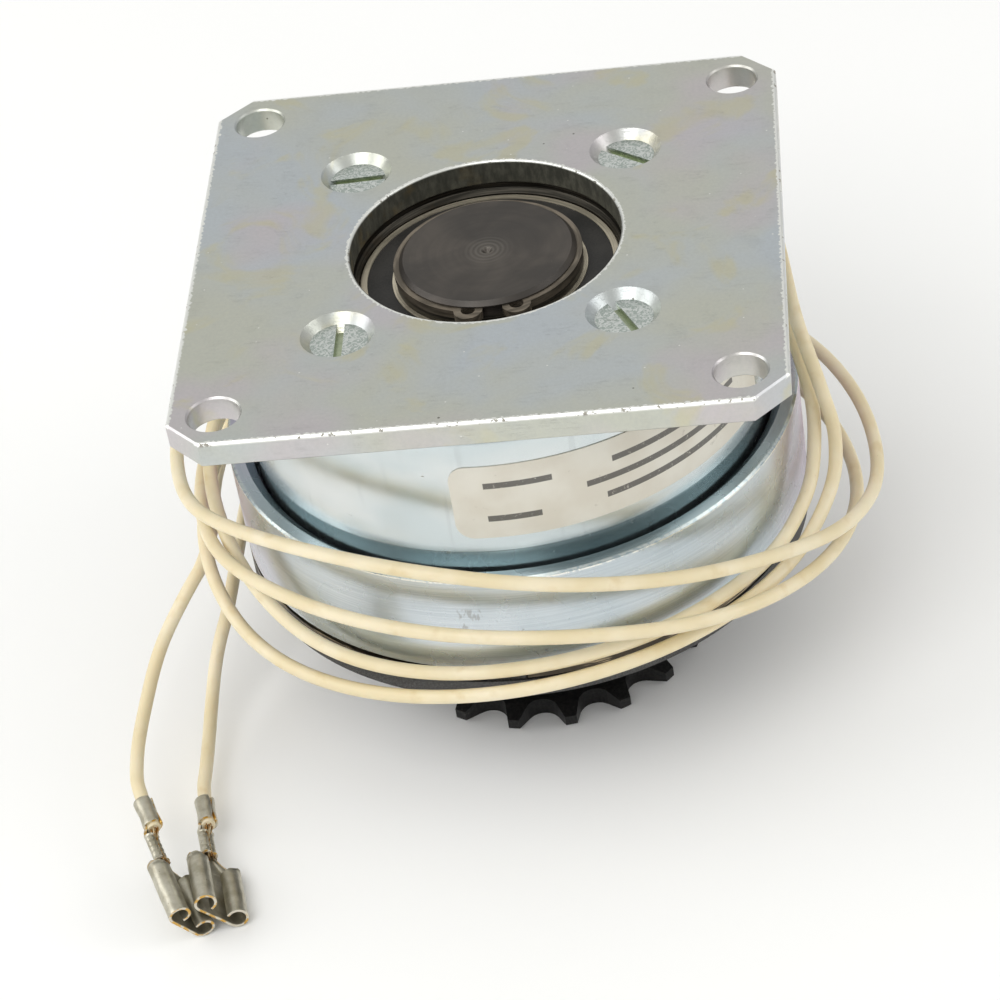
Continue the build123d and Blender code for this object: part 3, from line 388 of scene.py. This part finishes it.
def field_zinc():
    """The drawn cup: smooth bright zinc with drawing lines, scuffs, and a fine step above the lower band
    painted as a thin dark line of shade.
    """
    look = Look("field_zinc", 0.97, 0.24)
    clouds = look.ease(look.noise(0.018, 2.0, look.moved(stretch=(1, 1, 2))), 0.35, 0.68)
    colour = look.blend(clouds, tint(205, 214, 216), tint(224, 227, 226))
    band = look.ease(look.z, *FIELD_BAND_FADE)
    colour = look.cover(colour, band, 0.6, tint(150, 168, 172))
    lines = look.noise(0.0011, 2.0, look.moved(stretch=(1, 1, 0.06)))
    colour = look.blend(look.times(look.ease(lines, 0.6, 0.75), 0.25), colour, tint(178, 184, 186))
    # The fine step is painted as a thin dark line: painted shade where the step overhangs the lower band.
    groove_shade = look.within(look.z, *FIELD_GROOVE_SHADE, 0.00003)
    colour = look.cover(colour, groove_shade, 0.7, tint(66, 68, 64))
    scuffs = look.ease(look.noise(0.0024, 4.0, look.moved(stretch=(1, 1, 3)), gain=0.6), 0.69, 0.75)
    colour = look.cover(colour, scuffs, 0.5, tint(132, 120, 100))
    dark = look.specks(0.005, 0.0002, 0.25)
    colour = look.cover(colour, dark, 0.7, tint(80, 74, 62))
    look.bump(look.noise(0.0006, 3.0), 0.000004)
    look.bump(look.turned(0.0004, 3.0), 0.000003)
    rough = look.calc("ADD", look.spread(look.noise(0.006), 0.17, 0.3), look.times(scuffs, 0.25))
    return look.done(colour, rough)


def rotor_zinc():
    """The rotor: bright zinc with turned lines, a rainbow blush on its flanks that is partly painted sheen,
    level faces painted dark teal as painted reflection and shade, and a worn, specked rim.
    """
    look = Look("rotor_zinc", 0.97, 0.26)
    clouds = look.ease(look.noise(0.02, 2.0, look.moved(shift=(0.2, 0, 0))), 0.35, 0.65)
    colour = look.blend(clouds, tint(196, 206, 212), tint(214, 220, 224))
    angle = look.angle()
    # The blush is chromate tint and partly painted iridescent sheen: it lies 95 degrees to each side of -85,
    # on the flanks seen at a grazing angle. The angle jumps from 180 to -180 there on the left, so the blush
    # has a hard edge.
    from_front = look.calc("ABSOLUTE", look.calc("ADD", angle, 85.0))
    flanks = look.calc("ABSOLUTE", look.calc("SUBTRACT", from_front, 95.0))
    blush = look.ease(look.calc("MULTIPLY_ADD", look.noise(0.01, 2.0), 30.0, flanks), 58.0, 8.0)
    colour = look.cover(colour, blush, 0.9, tint(208, 172, 206))
    turning = look.turned(0.00022, 2.0, 3.0)
    colour = look.blend(look.spread(look.ease(turning, 0.42, 0.62), 0.0, 0.28), colour, tint(160, 172, 180))
    rim = look.within(look.z, ROTOR_TOP - 0.0005, ROTOR_TOP - 0.00002, 0.0001)
    outer = look.ease(look.radius(), ROTOR_R - 0.0006, ROTOR_R - 0.00025)
    edge = look.times(rim, outer)
    worn = look.times(edge, look.ease(look.noise(0.0007, 3.0), 0.38, 0.5))
    colour = look.blend(worn, colour, tint(243, 243, 238))
    # Level faces painted dark teal: painted reflection of the field wall and painted shade under the plate.
    level_face_reflection_shade = look.ease(look.facing_up(), 0.3, 0.6)
    colour = look.cover(colour, level_face_reflection_shade, 0.6, tint(142, 160, 162))
    spots = look.ease(look.noise(0.0013, 4.0, gain=0.6), 0.7, 0.76)
    colour = look.cover(colour, spots, 0.6, tint(104, 84, 60))
    scarred_width = look.within(angle, -99.0, -94.5, 0.6)
    scarred_height = look.within(look.z, -0.0375, -0.0325, 0.0005)
    scars = look.times(scarred_width, scarred_height)
    nicks = look.ease(look.noise(0.0007, 3.0, look.moved(stretch=(1, 1, 0.4))), 0.52, 0.6)
    scars = look.times(scars, nicks)
    colour = look.cover(colour, scars, 0.35, tint(112, 98, 80))
    look.bump(turning, 0.000005)
    rough = look.calc("ADD", look.spread(look.noise(0.005), 0.2, 0.34), look.times(spots, 0.3))
    return look.done(colour, rough)


# ---- Finishes of the bare, blackened and ground steel parts ------------------------------------------
def steel(name, pale, dull, rough, metal=1.0, spacing=0.0003, relief=0.000006, stains=0.3):
    """Turned steel: two tones in fine turning marks, with faint stains."""
    look = Look(name, metal, rough)
    turning = look.turned(spacing, 2.5, 3.0)
    colour = look.blend(look.ease(turning, 0.38, 0.64), dull, pale)
    stain = look.ease(look.noise(0.004, 4.0, gain=0.6), 0.5, 0.72)
    colour = look.blend(look.times(stain, stains), colour, tint(84, 68, 48))
    look.bump(turning, relief)
    return look.done(colour, look.spread(look.noise(0.0025, 3.0), rough - 0.07, rough + 0.1))


def shaft_oxide():
    """Black oxide with the rings of the facing cut round the centre and soft brown clouds."""
    look = Look("shaft_oxide", 0.55, 0.4)
    turning = look.turned(0.0009, 0.8, 2.0)
    clouds = look.ease(look.noise(0.009, 3.0, warp=0.6), 0.35, 0.7)
    colour = look.blend(clouds, tint(66, 62, 58), tint(84, 78, 72))
    colour = look.blend(look.spread(look.ease(turning, 0.4, 0.62), 0.0, 0.18), colour, tint(54, 51, 48))
    centre = look.ease(look.radius(), 0.0042, 0.0012)
    ring_frequency = 9000.0
    rings = look.calc("SINE", look.times(look.radius(), ring_frequency))
    rings = look.times(look.calc("MULTIPLY_ADD", rings, 0.5, 0.5), centre)
    colour = look.cover(colour, rings, 0.3, tint(126, 122, 114))
    wear = look.ease(look.noise(0.0009, 4.0, gain=0.65), 0.66, 0.74)
    colour = look.cover(colour, wear, 0.15, tint(120, 112, 98))
    look.bump(turning, 0.000003)
    look.bump(rings, 0.00002)
    look.bump(look.noise(0.0004, 3.0), 0.000005)
    return look.done(colour, look.spread(look.noise(0.003, 3.0), 0.3, 0.48))


def armature_steel():
    """Dark brown bare steel whose rim carries bright tan rubbing streaks."""
    look = Look("armature_steel", 0.8, 0.42)
    base = look.blend(look.noise(0.002, 4.0, gain=0.65), tint(48, 42, 34), tint(82, 74, 62))
    streaks = look.turned(0.00016, 7.0, 4.0)
    streaks = look.ease(streaks, 0.53, 0.66)
    patches = look.ease(look.noise(0.007, 3.0), 0.4, 0.56)
    colour = look.blend(look.times(streaks, patches), base, tint(204, 184, 150))
    look.bump(look.noise(0.0007, 4.0, gain=0.65), 0.00004)
    return look.done(colour, look.spread(look.noise(0.002), 0.3, 0.5))


def phosphate():
    """The driver disc: dull dark grey phosphate with a fine crystal grain."""
    look = Look("phosphate", 0.35, 0.62)
    grain = look.noise(0.00022, 3.0, gain=0.7)
    colour = look.blend(look.ease(grain, 0.35, 0.68), tint(52, 51, 50), tint(92, 91, 90))
    clouds = look.ease(look.noise(0.009, 3.0), 0.4, 0.7)
    colour = look.cover(colour, clouds, 0.4, tint(76, 75, 74))
    rubs = look.ease(look.noise(0.0016, 4.0, look.moved(stretch=(1, 1, 2.5)), gain=0.6), 0.68, 0.76)
    colour = look.cover(colour, rubs, 0.5, tint(128, 124, 116))
    look.bump(grain, 0.00002)
    return look.done(colour, look.spread(grain, 0.5, 0.7))


def sprocket_oxide():
    """Near-black oxide with a slight sheen on the teeth and light rubbing on their corners."""
    look = Look("sprocket_oxide", 0.45, 0.46)
    grain = look.noise(0.0004, 3.0, gain=0.6)
    colour = look.blend(look.ease(grain, 0.35, 0.7), tint(26, 26, 26), tint(46, 45, 44))
    rubbing_starts = 0.0205
    rubbing_full = 0.0245
    outer = look.ease(look.radius(), rubbing_starts, rubbing_full)
    rubs = look.times(look.ease(look.noise(0.0012, 4.0, gain=0.65), 0.6, 0.7), outer)
    colour = look.cover(colour, rubs, 0.45, tint(92, 88, 82))
    look.bump(grain, 0.00001)
    look.bump(look.turned(0.0004, 2.0), 0.000005)
    return look.done(colour, look.spread(look.noise(0.003), 0.38, 0.54))


def facing_material():
    """Dark friction facing with pale fibres and fine pits."""
    look = Look("facing_material", 0.0, 0.8)
    base = look.blend(look.noise(0.0008, 4.0, gain=0.6), tint(66, 56, 44), tint(98, 84, 66))
    one_way = look.scratches(0.0006, 0.3, 8.0, 0.03, 0.35)
    other_way = look.scratches(0.0007, 1.9, 8.0, 0.03, 0.35)
    fibres = look.calc("MAXIMUM", one_way, other_way)
    colour = look.cover(base, fibres, 0.6, tint(150, 136, 108))
    colour = look.blend(look.specks(0.0009, 0.0002, 0.3), colour, tint(36, 32, 28))
    look.bump(look.noise(0.0003, 4.0), 0.00003)
    return look.done(colour, look.spread(look.noise(0.001), 0.7, 0.9))


# ---- Finishes of the coil, seals, label and wires ----------------------------------------------------
def moulded(name, pale, dull, rough, grain_size=0.0006, relief=0.00001, specular=0.5):
    """Moulded or cast plastic and resin: soft clouds of two tones and a fine grain."""
    look = Look(name, 0.0, rough)
    look.shader.inputs["Specular IOR Level"].default_value = specular
    clouds = look.noise(0.006, 3.0)
    grain = look.noise(grain_size, 3.0, gain=0.6)
    tone = look.calc("MULTIPLY_ADD", grain, 0.5, look.times(clouds, 0.5))
    colour = look.blend(look.ease(tone, 0.4, 0.62), dull, pale)
    dust = look.specks(0.0014, 0.00012, 0.3)
    colour = look.cover(colour, dust, 0.5, tint(126, 120, 108))
    look.bump(grain, relief)
    return look.done(colour, look.spread(grain, rough - 0.08, rough + 0.1))


def enamelled_copper():
    """The winding: rounded turns of enamelled wire, side by side, each painted bright on its crest and dark
    between turns as painted highlight and shade.
    """
    look = Look("enamelled_copper", 0.85, 0.3)
    turn_pitch = 0.0003
    across_turns = look.calc("ADD", look.z, look.radius())
    waves = look.calc("SINE", look.times(across_turns, 2 * math.pi / turn_pitch))
    shade = look.calc("MULTIPLY_ADD", waves, 0.5, 0.5)
    # The colour follows each turn's round profile: painted highlight on the crest, painted shade between
    # turns.
    colour = look.blend(shade, tint(110, 46, 22), tint(206, 112, 62))
    colour = look.blend(look.times(look.noise(0.003), 0.3), colour, tint(160, 70, 34))
    look.bump(shade, 0.0001)
    return look.done(colour, look.spread(look.noise(0.002), 0.22, 0.38))


def label_film():
    """A warm white film with plain ruled bars where a rating label has its lines."""
    look = Look("label_film", 0.0, 0.36)
    fade = look.noise(0.007, 3.0)
    colour = look.blend(look.ease(fade, 0.35, 0.65), tint(214, 208, 194), tint(222, 218, 206))
    angle = look.angle()
    print_fade = look.ease(look.noise(0.0005, 4.0, gain=0.65), 0.2, 0.42)
    thick = 0.9 * MM
    # each bar's first angle, last angle and height in millimetres
    bars = (
        (-64.0, -30.0, -13.6),
        (-70.0, -36.0, -16.4),
        (-66.0, -28.0, -19.2),
        (-91.0, -77.0, -13.6),
        (-91.0, -80.0, -19.2),
    )
    for first, last, height in bars:
        across = look.within(look.z, height * MM - thick / 2, height * MM + thick / 2, 0.00008)
        bar = look.times(look.within(angle, first, last, 0.12), across)
        printed = look.times(bar, print_fade)
        colour = look.cover(colour, printed, 0.86, tint(58, 56, 54))
    grime = look.ease(look.noise(0.0018, 4.0, gain=0.65), 0.64, 0.74)
    colour = look.cover(colour, grime, 0.35, tint(142, 132, 112))
    look.bump(look.noise(0.0009, 2.0), 0.000006)
    return look.done(colour, look.spread(look.noise(0.003), 0.28, 0.44))


def lead_insulation():
    """Ivory insulation: satin, ochre in its shaded patches, with sparse dark scuffs."""
    look = Look("lead_insulation", 0.0, 0.42)
    look.shader.inputs["Subsurface Weight"].default_value = 0.12
    look.shader.inputs["Subsurface Radius"].default_value = (0.0012, 0.0009, 0.0005)
    look.shader.inputs["Subsurface Scale"].default_value = 1.0
    clouds = look.ease(look.noise(0.009, 3.0), 0.35, 0.68)
    colour = look.blend(clouds, tint(229, 214, 176), tint(238, 226, 196))
    ochre = look.ease(look.noise(0.0035, 3.0, look.moved(shift=(0.1, 0.2, 0))), 0.56, 0.78)
    colour = look.cover(colour, ochre, 0.45, tint(214, 190, 138))
    scuffs = look.ease(look.noise(0.0008, 4.0, gain=0.65), 0.7, 0.755)
    patches = look.ease(look.noise(0.008, 2.0, look.moved(shift=(0, 0.3, 0))), 0.5, 0.6)
    scuffs = look.times(scuffs, patches)
    colour = look.cover(colour, scuffs, 0.8, tint(98, 78, 50))
    look.bump(look.noise(0.0022, 2.0), 0.00003)
    look.bump(look.noise(0.0003, 3.0), 0.000004)
    return look.done(colour, look.spread(look.noise(0.002), 0.34, 0.5))


def tin_plate():
    """Dull, warm tin plate with fine grain, dark handling specks and soft streaks."""
    look = Look("tin_plate", 0.88, 0.38)
    clouds = look.ease(look.noise(0.0028, 4.0, gain=0.6), 0.34, 0.68)
    colour = look.blend(clouds, tint(174, 168, 148), tint(208, 204, 188))
    grain = look.noise(0.00018, 3.0, gain=0.65)
    colour = look.blend(look.spread(grain, 0.0, 0.35), colour, tint(142, 138, 122))
    pits = look.specks(0.0008, 0.00009, 0.3)
    colour = look.cover(colour, pits, 0.7, tint(86, 80, 66))
    look.bump(grain, 0.00001)
    look.bump(look.noise(0.0009, 3.0), 0.00002)
    return look.done(colour, look.spread(look.noise(0.0015), 0.3, 0.48))


def sheared_brass():
    """The cut edges of tinned brass: bare brass with smears of tin drawn over it."""
    look = Look("sheared_brass", 0.92, 0.34)
    smear = look.ease(look.noise(0.0011, 3.0, look.moved(shift=(0.2, 0, 0))), 0.44, 0.54)
    brass = look.blend(look.noise(0.0004, 3.0), tint(186, 142, 66), tint(226, 186, 104))
    colour = look.blend(smear, brass, tint(214, 208, 192))
    look.bump(look.noise(0.0002, 3.0), 0.00001)
    return look.done(colour, look.spread(look.noise(0.0007), 0.26, 0.44))


def strand_copper():
    """Fine tinned copper strands with bare golden patches."""
    look = Look("strand_copper", 0.95, 0.32)
    tinned = look.ease(look.noise(0.0006, 3.0), 0.42, 0.6)
    colour = look.blend(tinned, tint(170, 126, 70), tint(196, 182, 150))
    look.bump(look.noise(0.0002, 2.0), 0.00001)
    return look.done(colour, look.spread(look.noise(0.0005), 0.25, 0.45))


def paint(material, *names):
    """Gives CAD nodes a material in every slot of their objects."""
    for name in names:
        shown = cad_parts[name]
        for place in shown.material_slots:
            place.material = material


def bearing_nodes(part):
    return [f"{level}_{seat}_bearing_{part}" for level in ("upper", "lower") for seat in ("field", "hub")]


def finish_nodes():
    paint(plate_zinc(), "mounting_plate")
    paint(screw_zinc(), "plate_screws")
    paint(field_zinc(), "field_shell")
    paint(rotor_zinc(), "rotor")
    paint(steel("pole_iron", tint(92, 88, 80), tint(58, 56, 51), 0.45), "field_inner_pole")
    paint(moulded("bobbin_nylon", tint(226, 222, 208), tint(204, 198, 180), 0.45), "coil_bobbin")
    paint(enamelled_copper(), "coil_winding")
    paint(moulded("coil_tape", tint(196, 162, 66), tint(160, 124, 44), 0.3, 0.0012), "coil_tape")
    paint(moulded("potting_resin", tint(44, 38, 34), tint(24, 21, 19), 0.25, 0.002, 0.00003), "coil_potting")
    rubber = moulded("black_rubber", tint(56, 54, 51), tint(36, 35, 33), 0.55, 0.0003)
    paint(rubber, "lead_grommet", *bearing_nodes("seals"))
    paint(label_film(), "rating_label")
    races = bearing_nodes("inner_race") + bearing_nodes("outer_race")
    paint(steel("ground_steel", tint(236, 226, 204), tint(196, 188, 168), 0.42, metal=0.75), *races)
    ball_finish = steel("ball_steel", tint(214, 214, 212), tint(198, 198, 196), 0.14, stains=0.05)
    paint(ball_finish, *bearing_nodes("balls"))
    paint(steel("pressed_cage", tint(176, 170, 156), tint(140, 134, 120), 0.32), *bearing_nodes("cage"))
    paint(shaft_oxide(), "rotor_shaft")
    ring_finish = steel("ring_steel", tint(138, 128, 114), tint(98, 91, 80), 0.45, 0.7, 0.0006, 0.000004)
    paint(ring_finish, "upper_retaining_ring", "lower_retaining_ring", "lower_washer")
    spacer_finish = steel("spacer_steel", tint(88, 84, 76), tint(52, 50, 45), 0.4, 0.8)
    paint(spacer_finish, "ring_spacer", "bearing_spacer", "hub_bearing_spacer")
    paint(facing_material(), "friction_facing")
    paint(armature_steel(), "armature")
    rivet_finish = steel("rivet_steel", tint(150, 144, 132), tint(110, 104, 94), 0.34)
    paint(rivet_finish, "armature_rivets", "driver_rivets")
    paint(phosphate(), "driver_disc")
    spring_finish = steel("spring_steel", tint(116, 122, 134), tint(82, 86, 96), 0.25, spacing=0.0008)
    paint(spring_finish, "return_springs")
    paint(sprocket_oxide(), "sprocket_hub")


# ---- Leads -------------------------------------------------------------------------------------------
def place_about_shaft(angle, radius, height):
    turn = math.radians(angle)
    return Vector((radius * math.cos(turn), radius * math.sin(turn), height))


def lead_curve(name, places, material):
    """A lead as a smooth NURBS curve whose control points are its route's."""
    data = bpy.data.curves.new(name, "CURVE")
    data.dimensions = "3D"
    data.bevel_depth = LEAD_DIAMETER / 2
    data.bevel_resolution = 7
    data.resolution_u = 10
    data.use_fill_caps = True
    spline = data.splines.new("NURBS")
    spline.points.add(len(places) - 1)
    for point, place in zip(spline.points, places):
        point.co = (*place, 1.0)
    spline.order_u = 3
    spline.use_endpoint_u = True
    data.materials.append(material)
    lead = bpy.data.objects.new(name, data)
    bpy.context.scene.collection.objects.link(lead)
    return lead


# ---- Terminals ---------------------------------------------------------------------------------------
def sheet_point(along, base_half, wing_r, lift, reach, run):
    """A point of the formed sheet's middle, reach out from its centre: flat to base_half, then rolled up."""
    side = 1.0 if run >= 0 else -1.0
    flat = min(abs(reach), base_half)
    wrap = max(abs(reach) - base_half, 0.0) / wing_r
    across = flat + wing_r * math.sin(wrap)
    height = lift + wing_r * (1 - math.cos(wrap))
    return Vector((along, side * across, height))


def sheet_shell(stations, columns):
    """Rows of points for a formed strip. A station is (along, base_half, wing_r, wrap in degrees, lift)."""
    rows = []
    for along, base_half, wing_r, wrap, lift in stations:
        far = base_half + wing_r * math.radians(wrap)
        runs = [2 * k / columns - 1 for k in range(columns + 1)]
        rows.append([sheet_point(along, base_half, wing_r, lift, abs(run) * far, run) for run in runs])
    return rows


def smooth_step(value):
    share = min(max(value, 0.0), 1.0)
    return share * share * (3 - 2 * share)


def insulation_barrel_stations():
    """Wings wrapped round the insulation, pinched a little at the middle, with flared ends."""
    steps = 12
    for k in range(steps + 1):
        along = INSULATION_BARREL_END * k / steps
        pinch = 0.06 * MM * math.cos(2 * math.pi * k / steps)
        wing_r = INSULATION_WING_MM * MM + pinch
        wrap = 178.0 - 14.0 * abs(2 * k / steps - 1) ** 3
        yield along, 0.02 * MM, wing_r, wrap, WIRE_HEIGHT - wing_r


def window_stations():
    """The bare strap between the two barrels."""
    steps = 5
    for k in range(steps + 1):
        share = k / steps
        along = INSULATION_BARREL_END + (WIRE_BARREL_START - INSULATION_BARREL_END) * share
        wing_r = (INSULATION_WING_MM - 0.5 * smooth_step(share)) * MM
        lift = WIRE_HEIGHT - 1.22 * MM - 0.28 * MM * smooth_step(share)
        base_half = (0.02 + 0.48 * smooth_step(share)) * MM
        wrap = 62.0 - 12.0 * math.sin(math.pi * share)
        yield along, base_half, wing_r, wrap, lift


def wire_barrel_stations():
    """Two wings curled down into the strands, with the crimping die's ribs across them."""
    steps = 42
    ribs = 5
    for k in range(steps + 1):
        share = k / steps
        along = WIRE_BARREL_START + (WIRE_BARREL_END - WIRE_BARREL_START) * share
        rib = 0.045 * MM * max(0.0, math.sin(2 * math.pi * ribs * share)) ** 0.5
        bell = 0.12 * MM * (smooth_step((0.1 - share) / 0.1) + smooth_step((share - 0.92) / 0.08))
        wing_r = WIRE_WING_MM * MM - rib + bell
        yield along, STRAP_HALF_MM * MM, wing_r, 322.0, 0.5 * MM


def neck_stations():
    """The strap that widens from the wire barrel to the receptacle, with low turned-up sides."""
    steps = 10
    for k in range(steps + 1):
        share = k / steps
        along = WIRE_BARREL_END + (MOUTH_START - WIRE_BARREL_END) * share
        widen = smooth_step(share)
        base_half = (STRAP_HALF_MM + (ROLL_CENTRE / MM - STRAP_HALF_MM) * widen) * MM
        wing_r = (WIRE_WING_MM + 0.87 * widen) * MM
        wrap = 105.0 - 30.0 * math.sin(math.pi * share)
        yield along, base_half, wing_r, wrap, (0.5 - 0.3 * widen) * MM


def mouth_stations():
    """The receptacle: a flat floor and two rolls, cut back at a slant where they begin."""
    steps = 28
    for k in range(steps + 1):
        share = k / steps
        along = MOUTH_START + (MOUTH_END - MOUTH_START) * share
        slant_share = 0.13
        flare_share = 0.15
        wrap = 286.0 - 150.0 * smooth_step((slant_share - share) / slant_share)
        flare = 0.05 * MM * smooth_step((share - (1 - flare_share)) / flare_share)
        yield along, ROLL_CENTRE, ROLL_MIDLINE_R + flare - 0.04 * MM, wrap, SHEET / 2


def add_rows(mesh, rows):
    """Adds a grid of faces to a bmesh from rows of points."""
    corners = [[mesh.verts.new(point) for point in row] for row in rows]
    for row, following in zip(corners, corners[1:]):
        for k in range(len(row) - 1):
            mesh.faces.new((row[k], row[k + 1], following[k + 1], following[k]))


def roughened(points, amount, seed):
    """Small hand-made unevenness, the same on each run."""
    noise.seed_set(NOISE_SEED)
    shift = Vector((seed, 0, 0))
    for point in points:
        point.co += noise.noise_vector(point.co / (1.8 * MM) + shift) * amount


def terminal_mesh(name, seed, tin, brass):
    """A push-on terminal of formed sheet lying along +X, its wire end at the origin."""
    mesh = bmesh.new()
    add_rows(mesh, sheet_shell(insulation_barrel_stations(), 48))
    add_rows(mesh, sheet_shell(window_stations(), 20))
    add_rows(mesh, sheet_shell(wire_barrel_stations(), 56))
    add_rows(mesh, sheet_shell(neck_stations(), 32))
    add_rows(mesh, sheet_shell(mouth_stations(), 96))
    roughened(mesh.verts, 0.05 * MM, seed)
    for face in mesh.faces:
        face.smooth = True
    data = bpy.data.meshes.new(name)
    mesh.to_mesh(data)
    mesh.free()
    data.materials.append(tin)
    data.materials.append(brass)
    made = bpy.data.objects.new(name, data)
    bpy.context.scene.collection.objects.link(made)
    thick = made.modifiers.new("sheet thickness", "SOLIDIFY")
    thick.thickness = SHEET
    thick.offset = 0.0
    thick.use_even_offset = False
    thick.material_offset_rim = 1
    soft = made.modifiers.new("sheared edges", "BEVEL")
    soft.width = 0.05 * MM
    soft.segments = 2
    soft.limit_method = "ANGLE"
    soft.angle_limit = math.radians(50)
    soft.harden_normals = False
    return made


def strand_bundle(name, seed, copper):
    """The strands: across the window, through the wire barrel, and a few ends that poke out beyond it."""
    spread = random.Random(seed)
    data = bpy.data.curves.new(name, "CURVE")
    data.dimensions = "3D"
    data.bevel_depth = STRAND_R
    data.bevel_resolution = 3
    data.use_fill_caps = True
    bundle_height = 1.45 * MM
    for k in range(STRANDS):
        turn = 2 * math.pi * k / STRANDS + spread.uniform(-0.2, 0.2)
        out = (0.55 if k % 2 else 0.3) * MM
        end = WIRE_BARREL_END + spread.uniform(0.3, 1.2) * MM
        spline = data.splines.new("NURBS")
        stations = (
            WIRE_INSERTION - 0.5 * MM,
            WIRE_INSERTION + 0.3 * MM,
            WIRE_BARREL_START + 0.5 * MM,
            WIRE_BARREL_START + 2.2 * MM,
            WIRE_BARREL_END - 0.7 * MM,
            end,
        )
        spreads = (1.0, 1.0, 0.7, 0.6, 0.7, 1.0 + spread.uniform(0, 0.4))
        drops = (-0.55, -0.55, 0.0, 0.25, 0.2, 0.0)
        heights = [bundle_height - drop * MM for drop in drops]
        spline.points.add(len(stations) - 1)
        for point, along, share, height in zip(spline.points, stations, spreads, heights):
            point.co = (along, out * share * math.cos(turn), height + out * share * math.sin(turn), 1.0)
        spline.order_u = 3
        spline.use_endpoint_u = True
    data.materials.append(copper)
    made = bpy.data.objects.new(name, data)
    bpy.context.scene.collection.objects.link(made)
    return made


def terminal_frame(places, roll):
    """Where a terminal stands: along its lead's last run, turned about it so that one edge is lowest."""
    along = (places[-1] - places[-2]).normalized()
    start = places[-1] - along * WIRE_INSERTION
    level = Vector((0, 0, 1)).cross(along).normalized()
    upright = Matrix((along, level, along.cross(level))).transposed().to_4x4()
    turns = upright @ Matrix.Rotation(roll, 4, "X")
    return Matrix.Translation(start) @ turns @ Matrix.Translation((0, 0, -WIRE_HEIGHT))


def add_leads():
    insulation = lead_insulation()
    tin, brass, copper = tin_plate(), sheared_brass(), strand_copper()
    for number, (route, roll, length) in enumerate(zip(LEAD_ROUTES, TERMINAL_ROLLS, LEAD_LENGTHS), 1):
        places = [place_about_shaft(*point) for point in route]
        lead = lead_curve(f"lead_{number}", places, insulation)
        terminal = terminal_mesh(f"push_on_terminal_{number}", 3.7 * number, tin, brass)
        strands = strand_bundle(f"strands_{number}", number, copper)
        for piece in (terminal, strands):
            piece.data.transform(terminal_frame(places, roll))
        for piece in (lead, terminal, strands):
            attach(piece, "field")
        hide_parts(f"lead_wire_{number}")
        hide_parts(f"terminal_{number}")


# ---- Camera, floor and lights ------------------------------------------------------------------------
def add_camera():
    azimuth, elevation = CAMERA_AZIMUTH, CAMERA_ELEVATION
    right = Vector((math.cos(azimuth), math.sin(azimuth), 0))
    back = Vector(
        (
            math.sin(azimuth) * math.cos(elevation),
            -math.cos(azimuth) * math.cos(elevation),
            math.sin(elevation),
        )
    )
    level = Matrix((right, back.cross(right), back)).transposed()
    data = bpy.data.cameras.new("camera")
    data.lens = CAMERA_LENS
    data.sensor_width = CAMERA_SENSOR
    camera = bpy.data.objects.new("camera", data)
    rolled = (level @ Matrix.Rotation(CAMERA_ROLL, 3, "Z")).to_4x4()
    camera.matrix_world = Matrix.Translation(CAMERA_PLACE) @ rolled
    bpy.context.scene.collection.objects.link(camera)
    bpy.context.scene.camera = camera


def add_floor():
    square = ((-1, -1), (1, -1), (1, 1), (-1, 1))
    mesh = bmesh.new()
    corners = [mesh.verts.new((x * FLOOR_HALF, y * FLOOR_HALF, FLOOR_HEIGHT)) for x, y in square]
    mesh.faces.new(corners)
    data = bpy.data.meshes.new("floor")
    mesh.to_mesh(data)
    mesh.free()
    floor = bpy.data.objects.new("floor", data)
    look = Look("floor_paper", 0.0, 0.85)
    data.materials.append(look.done(look.blend(look.noise(0.05), tint(251, 251, 250), tint(253, 253, 252))))
    bpy.context.scene.collection.objects.link(floor)


def softbox(name, place, aim, size, power, colour=(1.0, 1.0, 1.0)):
    data = bpy.data.lights.new(name, "AREA")
    data.shape = "RECTANGLE"
    data.size, data.size_y = size
    data.energy = power
    data.color = colour
    lamp = bpy.data.objects.new(name, data)
    lamp.location = place
    lamp.rotation_euler = (Vector(aim) - Vector(place)).to_track_quat("-Z", "Y").to_euler()
    bpy.context.scene.collection.objects.link(lamp)


def add_lights():
    """A bright tent: a pale world, a large back box that the plate mirrors, and front and side boxes."""
    softbox("back_box", (0.05, 0.85, 0.75), LIGHT_AIM, (1.3, 0.8), 0.35)
    softbox("front_box", (-0.35, -0.8, 0.95), LIGHT_AIM, (0.9, 0.7), 6.0)
    softbox("left_box", (-0.95, -0.05, 0.5), LIGHT_AIM, (0.7, 0.7), 3.0)
    softbox("right_box", (0.95, -0.1, 0.4), LIGHT_AIM, (0.5, 0.7), 2.0)
    world = bpy.data.worlds.new("tent")
    world.use_nodes = True
    nodes, links = world.node_tree.nodes, world.node_tree.links
    direction = nodes.new("ShaderNodeTexCoord").outputs["Generated"]
    split = nodes.new("ShaderNodeSeparateXYZ")
    links.new(direction, split.inputs[0])
    ramp = nodes.new("ShaderNodeValToRGB")
    ramp.color_ramp.elements[0].position = 0.0
    ramp.color_ramp.elements[0].color = LOW_SKY
    ramp.color_ramp.elements[1].position = HIGH_SKY_FROM
    ramp.color_ramp.elements[1].color = HIGH_SKY
    links.new(split.outputs["Z"], ramp.inputs[0])
    background = next(node for node in nodes if node.type == "BACKGROUND")
    links.new(ramp.outputs[0], background.inputs["Color"])
    bpy.context.scene.world = world
    bpy.context.scene.view_settings.view_transform = "Standard"


add_camera()
add_leads()
finish_nodes()
add_floor()
add_lights()
